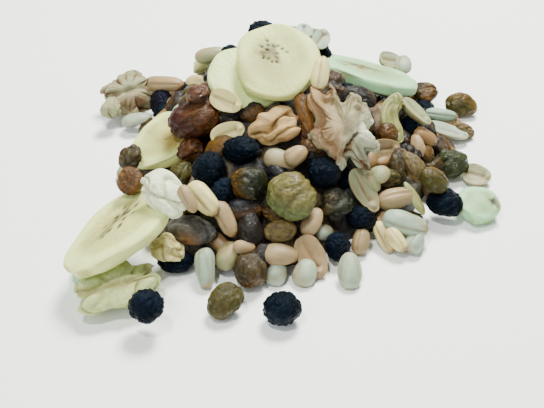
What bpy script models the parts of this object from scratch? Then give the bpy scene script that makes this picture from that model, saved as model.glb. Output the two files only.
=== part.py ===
"""A heap of trail mix, as it lies on a bare surface.

Banana slices, walnut halves, a curl of dried fruit and the pieces that lie just clear of the heap's
edge are objects of their own. The other peanuts, raisins and blueberries are one solid: a mound with
the pieces that show fused on. Blender units are metres,
+Z is up, the origin is on the surface under the middle of the heap, and the heap is seen from -Y.
The functions below work in millimetres.
"""

import math

import bmesh
import bpy
import numpy as np

MM = 0.001

# The mound under the pieces: a blunt cone on an uneven foot, whose radii are 30 degrees apart from +X.
BED_MIDDLE = np.array((0.0, 7.0))
BED_HEIGHT = 38.0
BED_FOOT = np.array((60.0, 60.0, 58.0, 58.0, 58.0, 57.0, 51.0, 62.0, 65.0, 59.0, 52.0, 57.0))
BED_BLUNTNESS = 1.3
BED_FACES = (6, 24)

# The line of sight that the places below are read along: an eye above the front of the heap.
# A place is a pixel of the 544 by 408 picture, and AIM is the point of the surface at its middle.
PICTURE_MIDDLE = (272.0, 204.0)
AIM = np.array((-3.7, -15.0, 0.0))
EYE_DISTANCE = 340.0
EYE_ELEVATION = math.radians(40.0)
PIXELS_PER_MM = 3.0
RIGHT = np.array((1.0, 0.0, 0.0))
UPWARD = np.array((0.0, math.sin(EYE_ELEVATION), math.cos(EYE_ELEVATION)))
TOWARD = np.array((0.0, -math.cos(EYE_ELEVATION), math.sin(EYE_ELEVATION)))
UP = np.array((0.0, 0.0, 1.0))

# How the pieces meet, in mm. BITE is how deep a piece sinks into what it rests on, once a share
# of its underside that is pressed most is left out: per cent against all, and against toppings.
BITE = 1.0
SOFT_SHARE = 34.0
FIRM_SHARE = 10.0
LEAN = 0.5
FLOOR = 0.15
CLEARANCE = 0.4
BACK_STOP = (30.0, 0.28)
CELL = 1.0
REACH = 100.0
SETTLING_STEPS = 5

# Forms: thickness as a share of the width, or in mm.
SLICE_THICKNESS = 5.6
PEANUT_FLATNESS = 0.92
HALF_PEANUT_DEPTH = 0.84
RAISIN_FLATNESS = 0.8
BERRY_FLATNESS = 0.86
WALNUT_FLATNESS = 0.5
WALNUT_LOBES = 6
CURL_THICKNESS = 2.6

# Notches of the open walnut: angle in degrees, depth as a share of the radius, half width in degrees.
OPEN_NOTCHES = (
    (172.0, 0.3, 9.0),
    (140.0, 0.3, 7.0),
    (66.0, 0.2, 9.0),
    (24.0, 0.34, 9.0),
    (-24.0, 0.42, 12.0),
    (-72.0, 0.2, 9.0),
    (-128.0, 0.3, 14.0),
)

# Lumpy balls: flatness, waves over the ball and depth of the lumps.
PEBBLES = {
    "raisin": (RAISIN_FLATNESS, 2.6, 0.07),
    "berry": (BERRY_FLATNESS, 3.2, 0.03),
    "walnut_bit": (0.75, 2.8, 0.14),
    "shred": (0.8, 3.0, 0.1),
}

# Faces of a solid: rings from pole to pole, and segments round it. The fused solid is thinned.
FUSED_TRIANGLES = 8000
SAMPLES = (40, 60)
TOPPING_SAMPLES = (90, 130)
FACES = {
    "half": (5, 7),
    "whole": (5, 7),
    "raisin": (5, 7),
    "berry": (6, 7),
    "walnut_bit": (6, 8),
    "shred": (6, 6),
    "slice": (6, 18),
    "walnut": (7, 30),
    "open_walnut": (8, 42),
    "curl": (12, 8),
}

# Each piece: kind, pixel across, pixel down, length, width in mm, turn, tip and roll in degrees.
# Turn is anticlockwise in the picture, tip brings the right-hand end nearer, and roll turns it
# about its length. At zero its broad face is square to the line of sight. Deepest pieces first.
HOLLOWS = (
    ("raisin", 334, 92, 10.0, 8.0, 10, 0, 0),
    ("raisin", 360, 97, 12.0, 8.0, -20, 0, 0),
    ("raisin", 252, 112, 9.0, 7.0, 0, 0, 0),
    ("raisin", 230, 115, 9.0, 7.0, 30, 0, 0),
    ("raisin", 309, 131, 10.0, 7.0, 90, 0, 0),
    ("raisin", 312, 150, 9.0, 8.0, 0, 0, 0),
    ("berry", 411, 126, 9.5, 8.5, 90, 0, 0),
    ("berry", 221, 192, 10.5, 9.0, 40, 0, 0),
    ("raisin", 388, 133, 8.0, 7.0, 0, 0, 0),
    ("raisin", 388, 178, 10.0, 7.0, 0, 0, 0),
    ("berry", 362, 219, 11.0, 8.5, 0, 0, 0),
    ("raisin", 244, 209, 12.0, 8.0, -10, 0, 0),
    ("raisin", 275, 212, 9.0, 8.0, 0, 0, 0),
    ("berry", 176, 261, 12.0, 8.0, 0, 0, 0),
    ("berry", 338, 247, 9.8, 8.8, 90, 0, 0),
    ("raisin", 250, 231, 12.0, 9.0, 95, 0, 0),
    ("raisin", 150, 165, 9.0, 8.0, 40, 0, 0),
    ("raisin", 407, 97, 9.0, 6.0, 0, 0, 0),
    ("raisin", 160, 218, 9.0, 8.0, 90, 0, 0),
    ("raisin", 260, 258, 9.0, 8.0, 90, 0, 0),
    ("whole", 425, 137, 9.0, 6.0, -30, 0, 0),
    ("whole", 448, 122, 10.0, 6.0, -10, 0, 0),
)
BACK_ROW = (
    ("berry", 262, 31, 10.0, 9.0, 0, 0, 0),
    ("berry", 230, 52, 7.0, 6.0, 0, 0, 0),
    ("berry", 321, 53, 8.0, 7.0, 0, 0, 0),
    ("half", 304, 32, 7.0, 6.0, 90, 0, 0),
    ("half", 320, 40, 10.0, 6.5, 60, 0, 20),
    ("half", 390, 62, 9.0, 8.0, 0, 0, 0),
    ("half", 403, 63, 9.0, 6.5, 75, 0, 160),
    ("whole", 210, 55, 11.5, 6.0, 5, 0, 0),
    ("raisin", 425, 93, 10.5, 9.5, 0, 0, 0),
)
MIDDLE_ROW = (
    ("walnut_bit", 110, 109, 9.0, 7.0, 60, 0, 0),
    ("half", 198, 81, 10.0, 7.0, -30, 0, 150),
    ("berry", 161, 101, 10.5, 8.5, 80, 0, 0),
    ("raisin", 463, 130, 9.0, 6.0, -20, 0, 0),
    ("whole", 441, 115, 12.0, 5.0, -8, 0, 30),
    ("raisin", 130, 158, 9.5, 8.5, 70, 0, 0),
    ("raisin", 130, 181, 9.5, 8.5, 90, 0, 0),
    ("raisin", 427, 154, 8.0, 5.0, 90, 0, 0),
    ("raisin", 451, 164, 13.0, 12.0, 0, 0, 0),
    ("raisin", 305, 112, 15.0, 5.0, -72, 0, 0),
    ("half", 380, 173, 7.0, 6.5, 30, 0, 150),
    ("half", 372, 181, 8.0, 4.5, -50, 0, 180),
    ("raisin", 337, 205, 11.5, 10.5, 20, 0, 0),
    ("berry", 444, 203, 13.5, 10.5, -10, 0, 0),
    ("raisin", 249, 185, 12.0, 11.5, -40, 0, 0),
    ("half", 280, 160, 10.5, 7.0, -20, 0, 180),
    ("whole", 296, 156, 8.0, 6.5, 30, 0, 0),
    ("raisin", 281, 231, 11.0, 7.0, 5, 0, 0),
    ("half", 244, 247, 7.0, 4.5, 0, 0, 180),
    ("whole", 361, 241, 8.5, 6.0, 80, 0, 0),
    ("half", 276, 272, 8.5, 6.8, 80, 0, 180),
    ("half", 305, 272, 9.0, 7.5, 70, 0, 180),
    ("half", 325, 232, 6.0, 5.0, 0, 0, 180),
    ("whole", 415, 242, 8.0, 6.5, 60, 0, 0),
    ("whole", 384, 237, 11.0, 5.5, -65, 0, 0),
    ("whole", 396, 240, 9.0, 5.5, -55, 0, 0),
)
FRONT_ROW = (
    ("half", 136, 118, 11.0, 6.5, 12, 0, 150),
    ("whole", 166, 84, 15.0, 6.5, -12, 0, 0),
    ("raisin", 181, 172, 8.5, 8.0, 90, 0, 0),
    ("raisin", 190, 150, 9.5, 8.0, 10, 0, 0),
    ("half", 228, 133, 11.5, 7.0, 20, 0, 20),
    ("half", 227, 101, 11.5, 7.0, -25, 0, 20),
    ("raisin", 195, 119, 17.0, 14.0, 20, 0, 0),
    ("raisin", 197, 94, 8.5, 7.0, 0, 0, 0),
    ("whole", 321, 73, 11.5, 6.0, 80, 0, 0),
    ("berry", 324, 172, 11.8, 11.0, 0, 0, 0),
    ("berry", 209, 171, 13.5, 11.5, 80, 0, 0),
    ("berry", 241, 150, 13.0, 9.5, -5, 0, 0),
    ("half", 383, 149, 11.5, 6.8, 8, 0, 20),
    ("whole", 396, 198, 12.5, 7.2, 12, 0, 0),
    ("half", 363, 191, 15.5, 8.2, -62, 0, -20),
    ("raisin", 400, 164, 11.0, 8.0, 90, 0, 0),
    ("raisin", 415, 167, 10.5, 7.0, 105, 0, 0),
    ("raisin", 434, 181, 12.0, 8.0, -40, 0, 0),
    ("half", 416, 146, 8.5, 5.5, 100, 0, 120),
    ("half", 415, 113, 12.5, 8.0, -43, 0, -25),
    ("half", 447, 132, 15.5, 7.5, -18, 0, -25),
    ("half", 476, 176, 10.0, 8.0, -15, 0, 0),
    ("raisin", 291, 196, 15.8, 15.5, 0, 0, 0),
    ("whole", 226, 219, 12.0, 6.0, -65, 0, 0),
    ("walnut_bit", 165, 193, 18.0, 10.5, -35, 0, 0),
    ("whole", 188, 199, 9.0, 4.5, -60, 0, 0),
    ("whole", 203, 199, 13.0, 7.8, -48, 0, 0),
    ("walnut_bit", 166, 248, 10.5, 8.5, -30, 0, 0),
    ("raisin", 190, 230, 17.0, 10.0, -8, 0, 0),
    ("whole", 205, 268, 12.5, 7.0, -86, 0, 0),
    ("half", 226, 255, 9.5, 7.5, 65, 0, 150),
    ("raisin", 249, 271, 11.5, 11.0, 60, 0, 0),
    ("half", 280, 253, 11.5, 7.5, -3, 0, 150),
    ("half", 311, 221, 9.8, 6.6, 62, 0, 140),
    ("half", 311, 257, 14.2, 8.8, -62, 0, 0),
    ("whole", 406, 224, 15.0, 8.6, -15, 0, 0),
    ("shred", 415, 200, 13.0, 3.2, -58, 0, 0),
)

# Objects of their own: name, how far it leans with the slope, then as above. They stay clear of
# each other and of the small pieces.
LOW_TOPPINGS = (
    ("walnut_left", 0.4, "walnut", 131, 96, 24.0, 20.0, 20, 0, 0),
    ("banana_slice_left", 0.4, "slice", 163, 142, 22.0, 19.0, 30, 0, -10),
    ("banana_slice_beneath_top", 0.0, "slice", 248, 78, 26.0, 25.0, -10, 0, -30),
    ("banana_slice_right", 0.0, "slice", 366, 75, 36.0, 24.0, -15, 0, -66),
    ("banana_slice_top", 0.0, "slice", 277, 62, 27.0, 26.5, 0, 0, -20),
    ("banana_slice_edge", 0.4, "slice", 478, 205, 14.0, 12.5, -20, 0, -10),
    ("fruit_curl", 0.3, "curl", 388, 117, 19.0, 8.5, -75, 0, 0),
    ("banana_chip_front", 0.8, "slice", 92, 269, 13.0, 11.0, 25, 0, 0),
    ("walnut_front", 0.9, "walnut", 118, 287, 29.0, 18.5, 28, 0, 0),
    ("banana_slice_front", 0.0, "slice", 119, 231, 38.5, 25.0, 43, -22, -50),
)
HIGH_TOPPINGS = (
    ("walnut_right", 0.3, "open_walnut", 342, 129, 33.0, 22.0, -60, 0, 0),
    ("walnut_middle", 0.3, "walnut", 277, 126, 17.5, 12.5, 20, 0, 0),
)
EDGE_TOPPINGS = (
    ("raisin_right", 0.3, "raisin", 460, 104, 12.5, 9.5, -20, 0, 0),
    ("peanut_front", 0.3, "half", 350, 270, 11.8, 7.5, 90, 0, 180),
    ("raisin_front", 0.3, "raisin", 226, 301, 12.5, 10.0, 42, 0, 0),
    ("blueberry_front_left", 0.3, "berry", 147, 306, 11.4, 10.8, 0, 0, 0),
    ("blueberry_front", 0.3, "berry", 282, 309, 12.0, 11.0, 0, 0, 0),
)

# Behind the crest, out of that sight: name, kind, x, y, length and width in mm, and heading.
BACK_TOPPINGS = (
    ("banana_slice_back_left", "slice", -21.0, 60.0, 27.0, 24.0, 40),
    ("banana_slice_back_right", "slice", 22.0, 57.0, 31.0, 24.0, -20),
    ("walnut_back", "walnut", -4.0, 49.0, 26.0, 20.0, 80),
)

# Pieces drawn by chance: those that lie over the back, and those that fill what is left bare.
BACK_SEED = 7
BACK_COUNT = 56
BACK_TRIES = 900
BACK_MIX = ("half", "raisin", "whole", "berry", "raisin", "half", "berry", "raisin")
FILL_MIX = ("raisin", "half", "berry", "raisin", "whole")
FILL_SCALE = 0.8
FILL_BITES = (2.4, 4.4, 6.4)
FILL_SPACING = 3.6
SIZES = {"half": (14.0, 8.2), "whole": (13.5, 7.4), "raisin": (13.5, 11.0), "berry": (12.0, 11.0)}


def lattice(faces):
    """Unit directions over a ball as polar angle and angle round the pole, from pole to pole."""
    rings, segments = faces
    polar = np.repeat(np.arange(1, rings) * math.pi / rings, segments)
    around = np.tile(np.arange(segments) * math.tau / segments, rings - 1)
    return np.r_[0.0, polar, math.pi], np.r_[0.0, around, 0.0]


def lumps(directions, seed, waves, count=5):
    """Sum of a few sine waves along seeded directions, about -1 to 1."""
    random = np.random.default_rng(seed)
    total = np.zeros(len(directions))
    for _ in range(count):
        heading = random.normal(size=3)
        heading *= waves / np.linalg.norm(heading)
        total += np.sin(directions @ heading + random.uniform(0.0, math.tau))
    return total / math.sqrt(count)


def half_peanut(polar, around, length, width, seed):
    """An egg outline, flat on the side that faces up and domed on the other."""
    girth = 0.5 * width * np.sin(polar) ** 0.85 * (1.0 - 0.12 * np.cos(polar))
    up = np.sin(around)
    height = np.where(up > 0.0, 0.12, HALF_PEANUT_DEPTH) * girth * up
    return np.c_[0.5 * length * np.cos(polar), girth * np.cos(around), height + 0.16 * width]


def whole_peanut(polar, around, length, width, seed):
    """A long egg, a little narrower at its middle."""
    girth = 0.5 * width * np.sin(polar) ** 0.8 * (1.0 - 0.1 * np.cos(polar) - 0.06 * np.cos(2.0 * polar) ** 2)
    depth = PEANUT_FLATNESS * girth
    return np.c_[0.5 * length * np.cos(polar), girth * np.cos(around), depth * np.sin(around)]


def pebble(polar, around, length, width, seed, flatness, waves, depth):
    """A ball with rounded lumps, pressed to its length, width and flatness."""
    ball = np.c_[np.cos(polar), np.sin(polar) * np.cos(around), np.sin(polar) * np.sin(around)]
    swell = 1.0 + depth * lumps(ball, seed, waves)
    return ball * swell[:, None] * np.array((length, width, flatness * width)) * 0.5


def banana_slice(polar, around, length, width, seed):
    """A thick oval disc whose edge is rounded, with a slightly three-sided outline and warp."""
    outline = 1.0 + 0.025 * np.cos(3.0 * around + seed) + 0.015 * np.cos(5.0 * around)
    reach = np.sin(polar) ** 0.45 * outline
    x = 0.5 * length * reach * np.cos(around)
    y = 0.5 * width * reach * np.sin(around)
    rise = np.sign(np.cos(polar)) * np.abs(np.cos(polar)) ** 0.45
    warp = 0.9 * (x * y) / (length * width) * 4.0
    return np.c_[x, y, 0.5 * SLICE_THICKNESS * rise + warp]


def notched(edge, notches):
    """How deep notches cut at each angle round an edge. A notch has an angle, a depth and a half width."""
    deepest = np.zeros_like(edge)
    for degrees, depth, half_width in notches:
        apart = (edge - math.radians(degrees) + math.pi) % math.tau - math.pi
        deepest = np.maximum(deepest, depth * np.exp(-((apart / math.radians(half_width)) ** 2)))
    return deepest


def kernel(polar, around, length, width, seed, notches):
    """An oval kernel with a groove along it, and notches that run in from its edge between lobes."""
    ball = np.c_[np.sin(polar) * np.cos(around), np.sin(polar) * np.sin(around), np.cos(polar)]
    groove = 0.25 * np.exp(-((ball[:, 1] / 0.2) ** 2)) * np.clip(ball[:, 2], 0.0, None)
    cut = notched(around, notches) * np.sin(polar) ** 1.5
    swell = 1.0 + 0.06 * lumps(ball, seed, 5.0) - groove - cut
    thick = WALNUT_FLATNESS * (1.05 + 0.15 * np.sign(ball[:, 2]))
    sides = np.c_[np.full_like(polar, length), np.full_like(polar, width), width * thick]
    return ball * swell[:, None] * sides * 0.5


def walnut_half(polar, around, length, width, seed):
    """A kernel with notches at uneven steps round it."""
    random = np.random.default_rng(seed)
    step = 360.0 / WALNUT_LOBES
    start = random.uniform(0.0, 360.0)
    places = start + step * (np.arange(WALNUT_LOBES) + random.uniform(-0.25, 0.25, WALNUT_LOBES))
    notches = [(place, random.uniform(0.14, 0.32), 14.0) for place in places]
    return kernel(polar, around, length, width, seed, notches)


def open_walnut(polar, around, length, width, seed):
    """A kernel with long arms at both ends and a wide fan between them."""
    return kernel(polar, around, length, width, seed, OPEN_NOTCHES)


def curled_strip(polar, around, length, width, seed):
    """A thick strip that runs straight and then curls to one side, in the plane of the picture."""
    along = 0.5 * (1.0 - np.cos(polar))
    late = np.clip(along - 0.35, 0.0, None)
    bend = 2.2 * late ** 1.3
    middle_x = length * (along - 0.5) - 0.5 * length * late ** 2
    middle_y = 0.75 * length * late ** 2
    girth = np.sin(polar) ** 0.35
    side = 0.5 * width * girth * np.cos(around) * (1.0 - 0.35 * along)
    rise = 0.5 * CURL_THICKNESS * girth * np.sin(around)
    return np.c_[-middle_x + side * np.sin(bend), middle_y + side * np.cos(bend), rise + 2.0 * along * along]


def form(kind, polar, around, length, width, seed):
    """Points of a piece about its own middle, its length along x and its broad face up."""
    if kind == "half":
        return half_peanut(polar, around, length, width, seed)
    if kind == "whole":
        return whole_peanut(polar, around, length, width, seed)
    if kind == "slice":
        return banana_slice(polar, around, length, width, seed)
    if kind == "walnut":
        return walnut_half(polar, around, length, width, seed)
    if kind == "open_walnut":
        return open_walnut(polar, around, length, width, seed)
    if kind == "curl":
        return curled_strip(polar, around, length, width, seed)
    flatness, waves, depth = PEBBLES[kind]
    return pebble(polar, around, length, width, seed, flatness, waves, depth)


def bed_foot(angle):
    """Radius of the foot at an angle, eased from each named radius to the next."""
    step = angle * len(BED_FOOT) / math.tau
    before = np.floor(step).astype(int)
    share = step - before
    eased = share * share * (3.0 - 2.0 * share)
    count = len(BED_FOOT)
    return BED_FOOT[before % count] * (1.0 - eased) + BED_FOOT[(before + 1) % count] * eased


def bed_height(x, y):
    """Height of the mound: it falls from the crest to the foot by a power of the distance."""
    across = x - BED_MIDDLE[0]
    back = y - BED_MIDDLE[1]
    share = np.hypot(across, back) / bed_foot(np.arctan2(back, across))
    return BED_HEIGHT * (1.0 - share ** BED_BLUNTNESS)


def bed_normal(x, y):
    """Upward direction square to the mound, by differences over 2 mm, level beyond its foot."""
    def height(a, b):
        return max(float(bed_height(a, b)), 0.0)
    normal = np.array((height(x - 1.0, y) - height(x + 1.0, y), height(x, y - 1.0) - height(x, y + 1.0), 2.0))
    return normal / np.linalg.norm(normal)


def turned(turn, tip, roll):
    """Rotation that rolls about x, tips the x end nearer and turns in the picture."""
    c, s = np.cos(np.radians((turn, tip, roll))), np.sin(np.radians((turn, tip, roll)))
    turning = np.array(((c[0], -s[0], 0.0), (s[0], c[0], 0.0), (0.0, 0.0, 1.0)))
    tipping = np.array(((c[1], 0.0, -s[1]), (0.0, 1.0, 0.0), (s[1], 0.0, c[1])))
    rolling = np.array(((1.0, 0.0, 0.0), (0.0, c[2], -s[2]), (0.0, s[2], c[2])))
    return turning @ tipping @ rolling


def swing(start, end):
    """Smallest rotation that takes one unit direction to another."""
    cross = np.cross(start, end)
    skew = np.array(((0.0, -cross[2], cross[1]), (cross[2], 0.0, -cross[0]), (-cross[1], cross[0], 0.0)))
    return np.eye(3) + skew + skew @ skew / (1.0 + start @ end)


def sight_point(across, down, near):
    """Point on the line of sight of a pixel, a distance nearer to the eye than AIM."""
    shrink = (EYE_DISTANCE - near) / EYE_DISTANCE
    side = (across - PICTURE_MIDDLE[0]) / PIXELS_PER_MM * shrink
    rise = (PICTURE_MIDDLE[1] - down) / PIXELS_PER_MM * shrink
    return AIM + side * RIGHT + rise * UPWARD + near * TOWARD


def floor_nearness(down, lowest):
    """How near a piece must stay for its lowest point, below its middle, to clear the floor."""
    rise = (PICTURE_MIDDLE[1] - down) / PIXELS_PER_MM * UPWARD[2]
    return (FLOOR - lowest - rise) / (TOWARD[2] - rise / EYE_DISTANCE)


def sight_cells(points):
    """Cell of the sight map that each point falls in, and how near it is to the eye."""
    offset = points - AIM
    near = offset @ TOWARD
    grow = EYE_DISTANCE / (EYE_DISTANCE - near)
    return cells(offset @ RIGHT * grow, offset @ UPWARD * grow) + (near,)


def plan_cells(points):
    """Cell of the plan that each point falls in, and its height."""
    return cells(points[:, 0], points[:, 1]) + (points[:, 2],)


def cells(across, along):
    """Row and column of a map that is REACH wide each way."""
    count = int(2.0 * REACH / CELL)
    row = np.clip(((along + REACH) / CELL).astype(int), 0, count - 1)
    column = np.clip(((across + REACH) / CELL).astype(int), 0, count - 1)
    return row, column


def blank_map(value):
    """A map with one value all over."""
    count = int(2.0 * REACH / CELL)
    return np.full((count, count), value)


def back_stop():
    """Sight map of an upright bent wall behind the crest, where a piece seen above the heap rests."""
    count = int(2.0 * REACH / CELL)
    offset = (np.arange(count) + 0.5) * CELL - REACH
    share = offset[:, None] * UPWARD[1]
    wall = BACK_STOP[0] + BACK_STOP[1] * np.abs(offset[None, :])
    return (AIM[1] - wall + share) / (share / EYE_DISTANCE - TOWARD[1])


def push(surface, offset_cells, softness):
    """How far a piece must come up a map to clear it, leaving out its most pressed cells."""
    row, column, near = offset_cells
    under = np.full(surface.shape, np.inf)
    np.minimum.at(under, (row, column), near)
    used = np.isfinite(under)
    return float(np.percentile(surface[used] - under[used], 100.0 - softness))


class Heap:
    """What lies where, as seen from the eye and from above."""

    def __init__(self):
        self.sight = blank_map(-2.0 * REACH)
        self.firm_sight = blank_map(-2.0 * REACH)
        self.plan = blank_map(0.0)
        self.firm_plan = blank_map(-2.0 * REACH)
        self.firm_floor = blank_map(2.0 * REACH)
        self.stop = back_stop()
        self.pieces = []
        side = np.arange(-REACH, REACH, 0.4)
        x, y = np.meshgrid(side, side)
        z = bed_height(x, y)
        inside = z > 0.0
        self.cover(np.c_[x[inside], y[inside], z[inside]], False)
        self.bare = self.sight.copy()

    def cover(self, points, firm):
        """Adds the points of a surface to the maps."""
        row, column, near = sight_cells(points)
        np.maximum.at(self.sight, (row, column), near)
        low, side, height = plan_cells(points)
        np.maximum.at(self.plan, (low, side), height)
        if firm:
            np.maximum.at(self.firm_sight, (row, column), near)
            np.maximum.at(self.firm_plan, (low, side), height)
            np.minimum.at(self.firm_floor, (low, side), height)

    def hides(self, points, share):
        """Whether at most a share of a piece comes before others, and nearly none shows past the heap."""
        row, column, near = sight_cells(points)
        there = self.sight[row, column]
        ahead = (near > there - 0.3) & (there > self.bare[row, column])
        outside = (near > there - 0.3) & (there < -REACH)
        return ahead.mean() <= share and outside.mean() <= 0.03

    def keep(self, name, kind, size, seed, turning, centre, samples):
        """Notes a piece in its place and covers the maps with it."""
        self.pieces.append((name, kind, size, seed, turning, centre))
        self.cover(samples, bool(name))

    def slide_in(self, row, name="", lean=LEAN):
        """Slides a piece along its line of sight, away from the eye, until it rests."""
        kind, across, down, length, width, turn, tip, roll = row
        seed = int(across * 7 + down * 13)
        samples = form(kind, *lattice(TOPPING_SAMPLES if name else SAMPLES), length, width, seed)
        facing = np.c_[RIGHT, UPWARD, TOWARD]
        resting = np.maximum(self.sight, self.stop)
        near = 0.0
        turning = facing @ turned(turn, tip, roll)
        for step in range(SETTLING_STEPS):
            centre = sight_point(across, down, near)
            if step:
                blend = lean * bed_normal(centre[0], centre[1]) + (1.0 - lean) * TOWARD
                turning = swing(TOWARD, blend / np.linalg.norm(blend)) @ facing @ turned(turn, tip, roll)
            points = samples @ turning.T
            placed = sight_cells(points + centre)
            rise = push(resting, placed, SOFT_SHARE) - BITE
            if name:
                rise = max(rise, push(self.firm_sight, placed, 0.0) + CLEARANCE)
            else:
                rise = max(rise, push(self.firm_sight, placed, FIRM_SHARE) - BITE)
            near = max(near + rise, floor_nearness(down, points[:, 2].min()))
        centre = sight_point(across, down, near)
        self.keep(name, kind, (length, width), seed, turning, centre, points + centre)

    def drop_in(self, kind, x, y, length, width, heading, seed, name=""):
        """Drops a piece straight down onto the heap. A small piece is left out if it would be seen."""
        samples = form(kind, *lattice(TOPPING_SAMPLES if name else SAMPLES), length, width, seed)
        turning = swing(UP, bed_normal(x, y)) @ turned(heading, 0.0, 0.0)
        points = samples @ turning.T
        placed = plan_cells(points + np.array((x, y, 0.0)))
        height = push(self.plan, placed, SOFT_SHARE) - BITE
        if name:
            height = max(height, push(self.firm_plan, placed, 0.0) + CLEARANCE)
        else:
            height = max(height, push(self.firm_plan, placed, FIRM_SHARE) - BITE)
        centre = np.array((x, y, max(height, FLOOR - points[:, 2].min())))
        if name or self.hides(points + centre, 0.02):
            self.keep(name, kind, (length, width), seed, turning, centre, points + centre)
            return True
        return False

    def press_in(self, kind, x, y, length, width, heading, seed):
        """Presses a small piece into the mound, unless it would be seen or comes near a topping."""
        samples = form(kind, *lattice(SAMPLES), length, width, seed)
        upward = bed_normal(x, y)
        turning = swing(UP, upward) @ turned(heading, 0.0, 0.0)
        points = samples @ turning.T
        ground = np.array((x, y, max(float(bed_height(x, y)), 0.0)))
        for bite in FILL_BITES:
            centre = ground + upward * ((-points @ upward).max() - bite)
            centre[2] = max(centre[2], FLOOR - points[:, 2].min())
            low, side, height = plan_cells(points + centre)
            clear = np.all(height < self.firm_floor[low, side])
            if clear and self.hides(points + centre, 0.25):
                self.keep("", kind, (length, width), seed, turning, centre, points + centre)
                return


def drawn_piece(random, number, mix, scale):
    """Kind, length, width and heading of a piece drawn by chance."""
    kind = mix[number % len(mix)]
    length, width = np.array(SIZES[kind]) * random.uniform(0.85, 1.08) * scale
    return kind, length, width, random.uniform(0.0, 360.0)


def scatter_back(heap):
    """Small pieces over the far side, where the photograph's eye doesn't reach."""
    random = np.random.default_rng(BACK_SEED)
    count = 0
    for number in range(BACK_TRIES):
        angle = random.uniform(-0.5, math.pi + 0.5)
        reach = (bed_foot(np.array(angle)) + 8.0) * math.sqrt(random.uniform(0.02, 1.0))
        x = BED_MIDDLE[0] + reach * math.cos(angle)
        y = BED_MIDDLE[1] + reach * math.sin(angle)
        kind, length, width, heading = drawn_piece(random, number, BACK_MIX, 1.0)
        spot = heap.plan[plan_cells(np.array(((x, y, 0.0),)))[:2]][0]
        if spot < max(float(bed_height(x, y)), 0.0) + 3.0 and count < BACK_COUNT:
            count += heap.drop_in(kind, x, y, length, width, heading, number)


def fill_gaps(heap):
    """Small pieces pressed into the mound wherever it is bare from above or from the eye."""
    random = np.random.default_rng(BACK_SEED + 1)
    side = np.arange(-REACH, REACH, FILL_SPACING)
    spots = np.array([(x, y) for x in side for y in side]) + random.uniform(-1.5, 1.5, (len(side) ** 2, 2))
    spots = spots[random.permutation(len(spots))]
    for number, (x, y) in enumerate(spots):
        ground = float(bed_height(x, y))
        kind, length, width, heading = drawn_piece(random, number, FILL_MIX, FILL_SCALE)
        if ground < 1.0:
            continue
        point = np.array(((x, y, ground),))
        bare_above = heap.plan[plan_cells(point)[:2]][0] < ground + 1.5
        row, column, near = sight_cells(point)
        bare_ahead = heap.sight[row, column][0] < near[0] + 1.5
        if bare_above or bare_ahead:
            heap.press_in(kind, x, y, length, width, heading, number)


def laid_out():
    """Every piece in its place, the deepest first."""
    heap = Heap()
    for row in HOLLOWS + BACK_ROW:
        heap.slide_in(row)
    for name, lean, *row in LOW_TOPPINGS:
        heap.slide_in(row, name, lean)
    for row in MIDDLE_ROW + FRONT_ROW:
        heap.slide_in(row)
    for name, lean, *row in HIGH_TOPPINGS + EDGE_TOPPINGS:
        heap.slide_in(row, name, lean)
    for name, kind, x, y, length, width, heading in BACK_TOPPINGS:
        heap.drop_in(kind, x, y, length, width, heading, int(y), name)
    scatter_back(heap)
    fill_gaps(heap)
    return heap.pieces


def closed_mesh(name, points, rings, segments):
    """A mesh over a lattice: a fan at each pole and bands of quads between, faces outward."""
    first = 1 + np.arange(rings - 2)[:, None] * segments
    here = np.arange(segments)[None, :]
    there = (here + 1) % segments
    second = first + segments
    quads = np.stack((first + here, first + there, second + there, second + here), axis=-1)
    faces = [tuple(int(i) for i in quad) for quad in quads.reshape(-1, 4)]
    last = len(points) - 1
    for segment in range(segments):
        after = (segment + 1) % segments
        faces.append((0, 1 + after, 1 + segment))
        faces.append((last, last - segments + segment, last - segments + after))
    mesh = bpy.data.meshes.new(name)
    mesh.from_pydata([tuple(point) for point in points * MM], [], faces)
    bm = bmesh.new()
    bm.from_mesh(mesh)
    bmesh.ops.recalc_face_normals(bm, faces=bm.faces)
    bm.to_mesh(mesh)
    bm.free()
    return mesh


def piece_mesh(piece, grown=0.0):
    """The mesh of a piece in its place, grown outward by a distance in mm."""
    name, kind, (length, width), seed, turning, centre = piece
    rings, segments = FACES[kind]
    points = form(kind, *lattice(FACES[kind]), length, width, seed)
    mesh = closed_mesh(name or kind, points @ turning.T + centre, rings, segments)
    if grown:
        bm = bmesh.new()
        bm.from_mesh(mesh)
        bm.normal_update()
        for vert in bm.verts:
            vert.co += vert.normal * grown * MM
        bm.to_mesh(mesh)
        bm.free()
    return mesh


def bed_mesh():
    """The mound as a closed mesh with a flat underside."""
    rings, segments = BED_FACES
    angle = np.arange(segments) * math.tau / segments
    foot = bed_foot(angle)
    rows = []
    for ring in range(1, rings + 1):
        x = BED_MIDDLE[0] + foot * ring / rings * np.cos(angle)
        y = BED_MIDDLE[1] + foot * ring / rings * np.sin(angle)
        rows.append(np.c_[x, y, np.clip(bed_height(x, y), 0.0, None)])
    rows[-1][:, 2] = 0.0
    top = np.array(((BED_MIDDLE[0], BED_MIDDLE[1], BED_HEIGHT),))
    under = np.array(((BED_MIDDLE[0], BED_MIDDLE[1], 0.0),))
    return closed_mesh("bed", np.concatenate((top, *rows, under)), rings + 1, segments)


def solid_material(name, colour, roughness):
    """A plain Principled material."""
    material = bpy.data.materials.new(name)
    material.use_nodes = True
    shader = material.node_tree.nodes["Principled BSDF"]
    shader.inputs["Base Color"].default_value = (*colour, 1.0)
    shader.inputs["Roughness"].default_value = roughness
    return material


def placed_object(name, mesh, collection):
    """An object with a mesh, linked to a collection."""
    result = bpy.data.objects.new(name, mesh)
    collection.objects.link(result)
    return result


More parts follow.
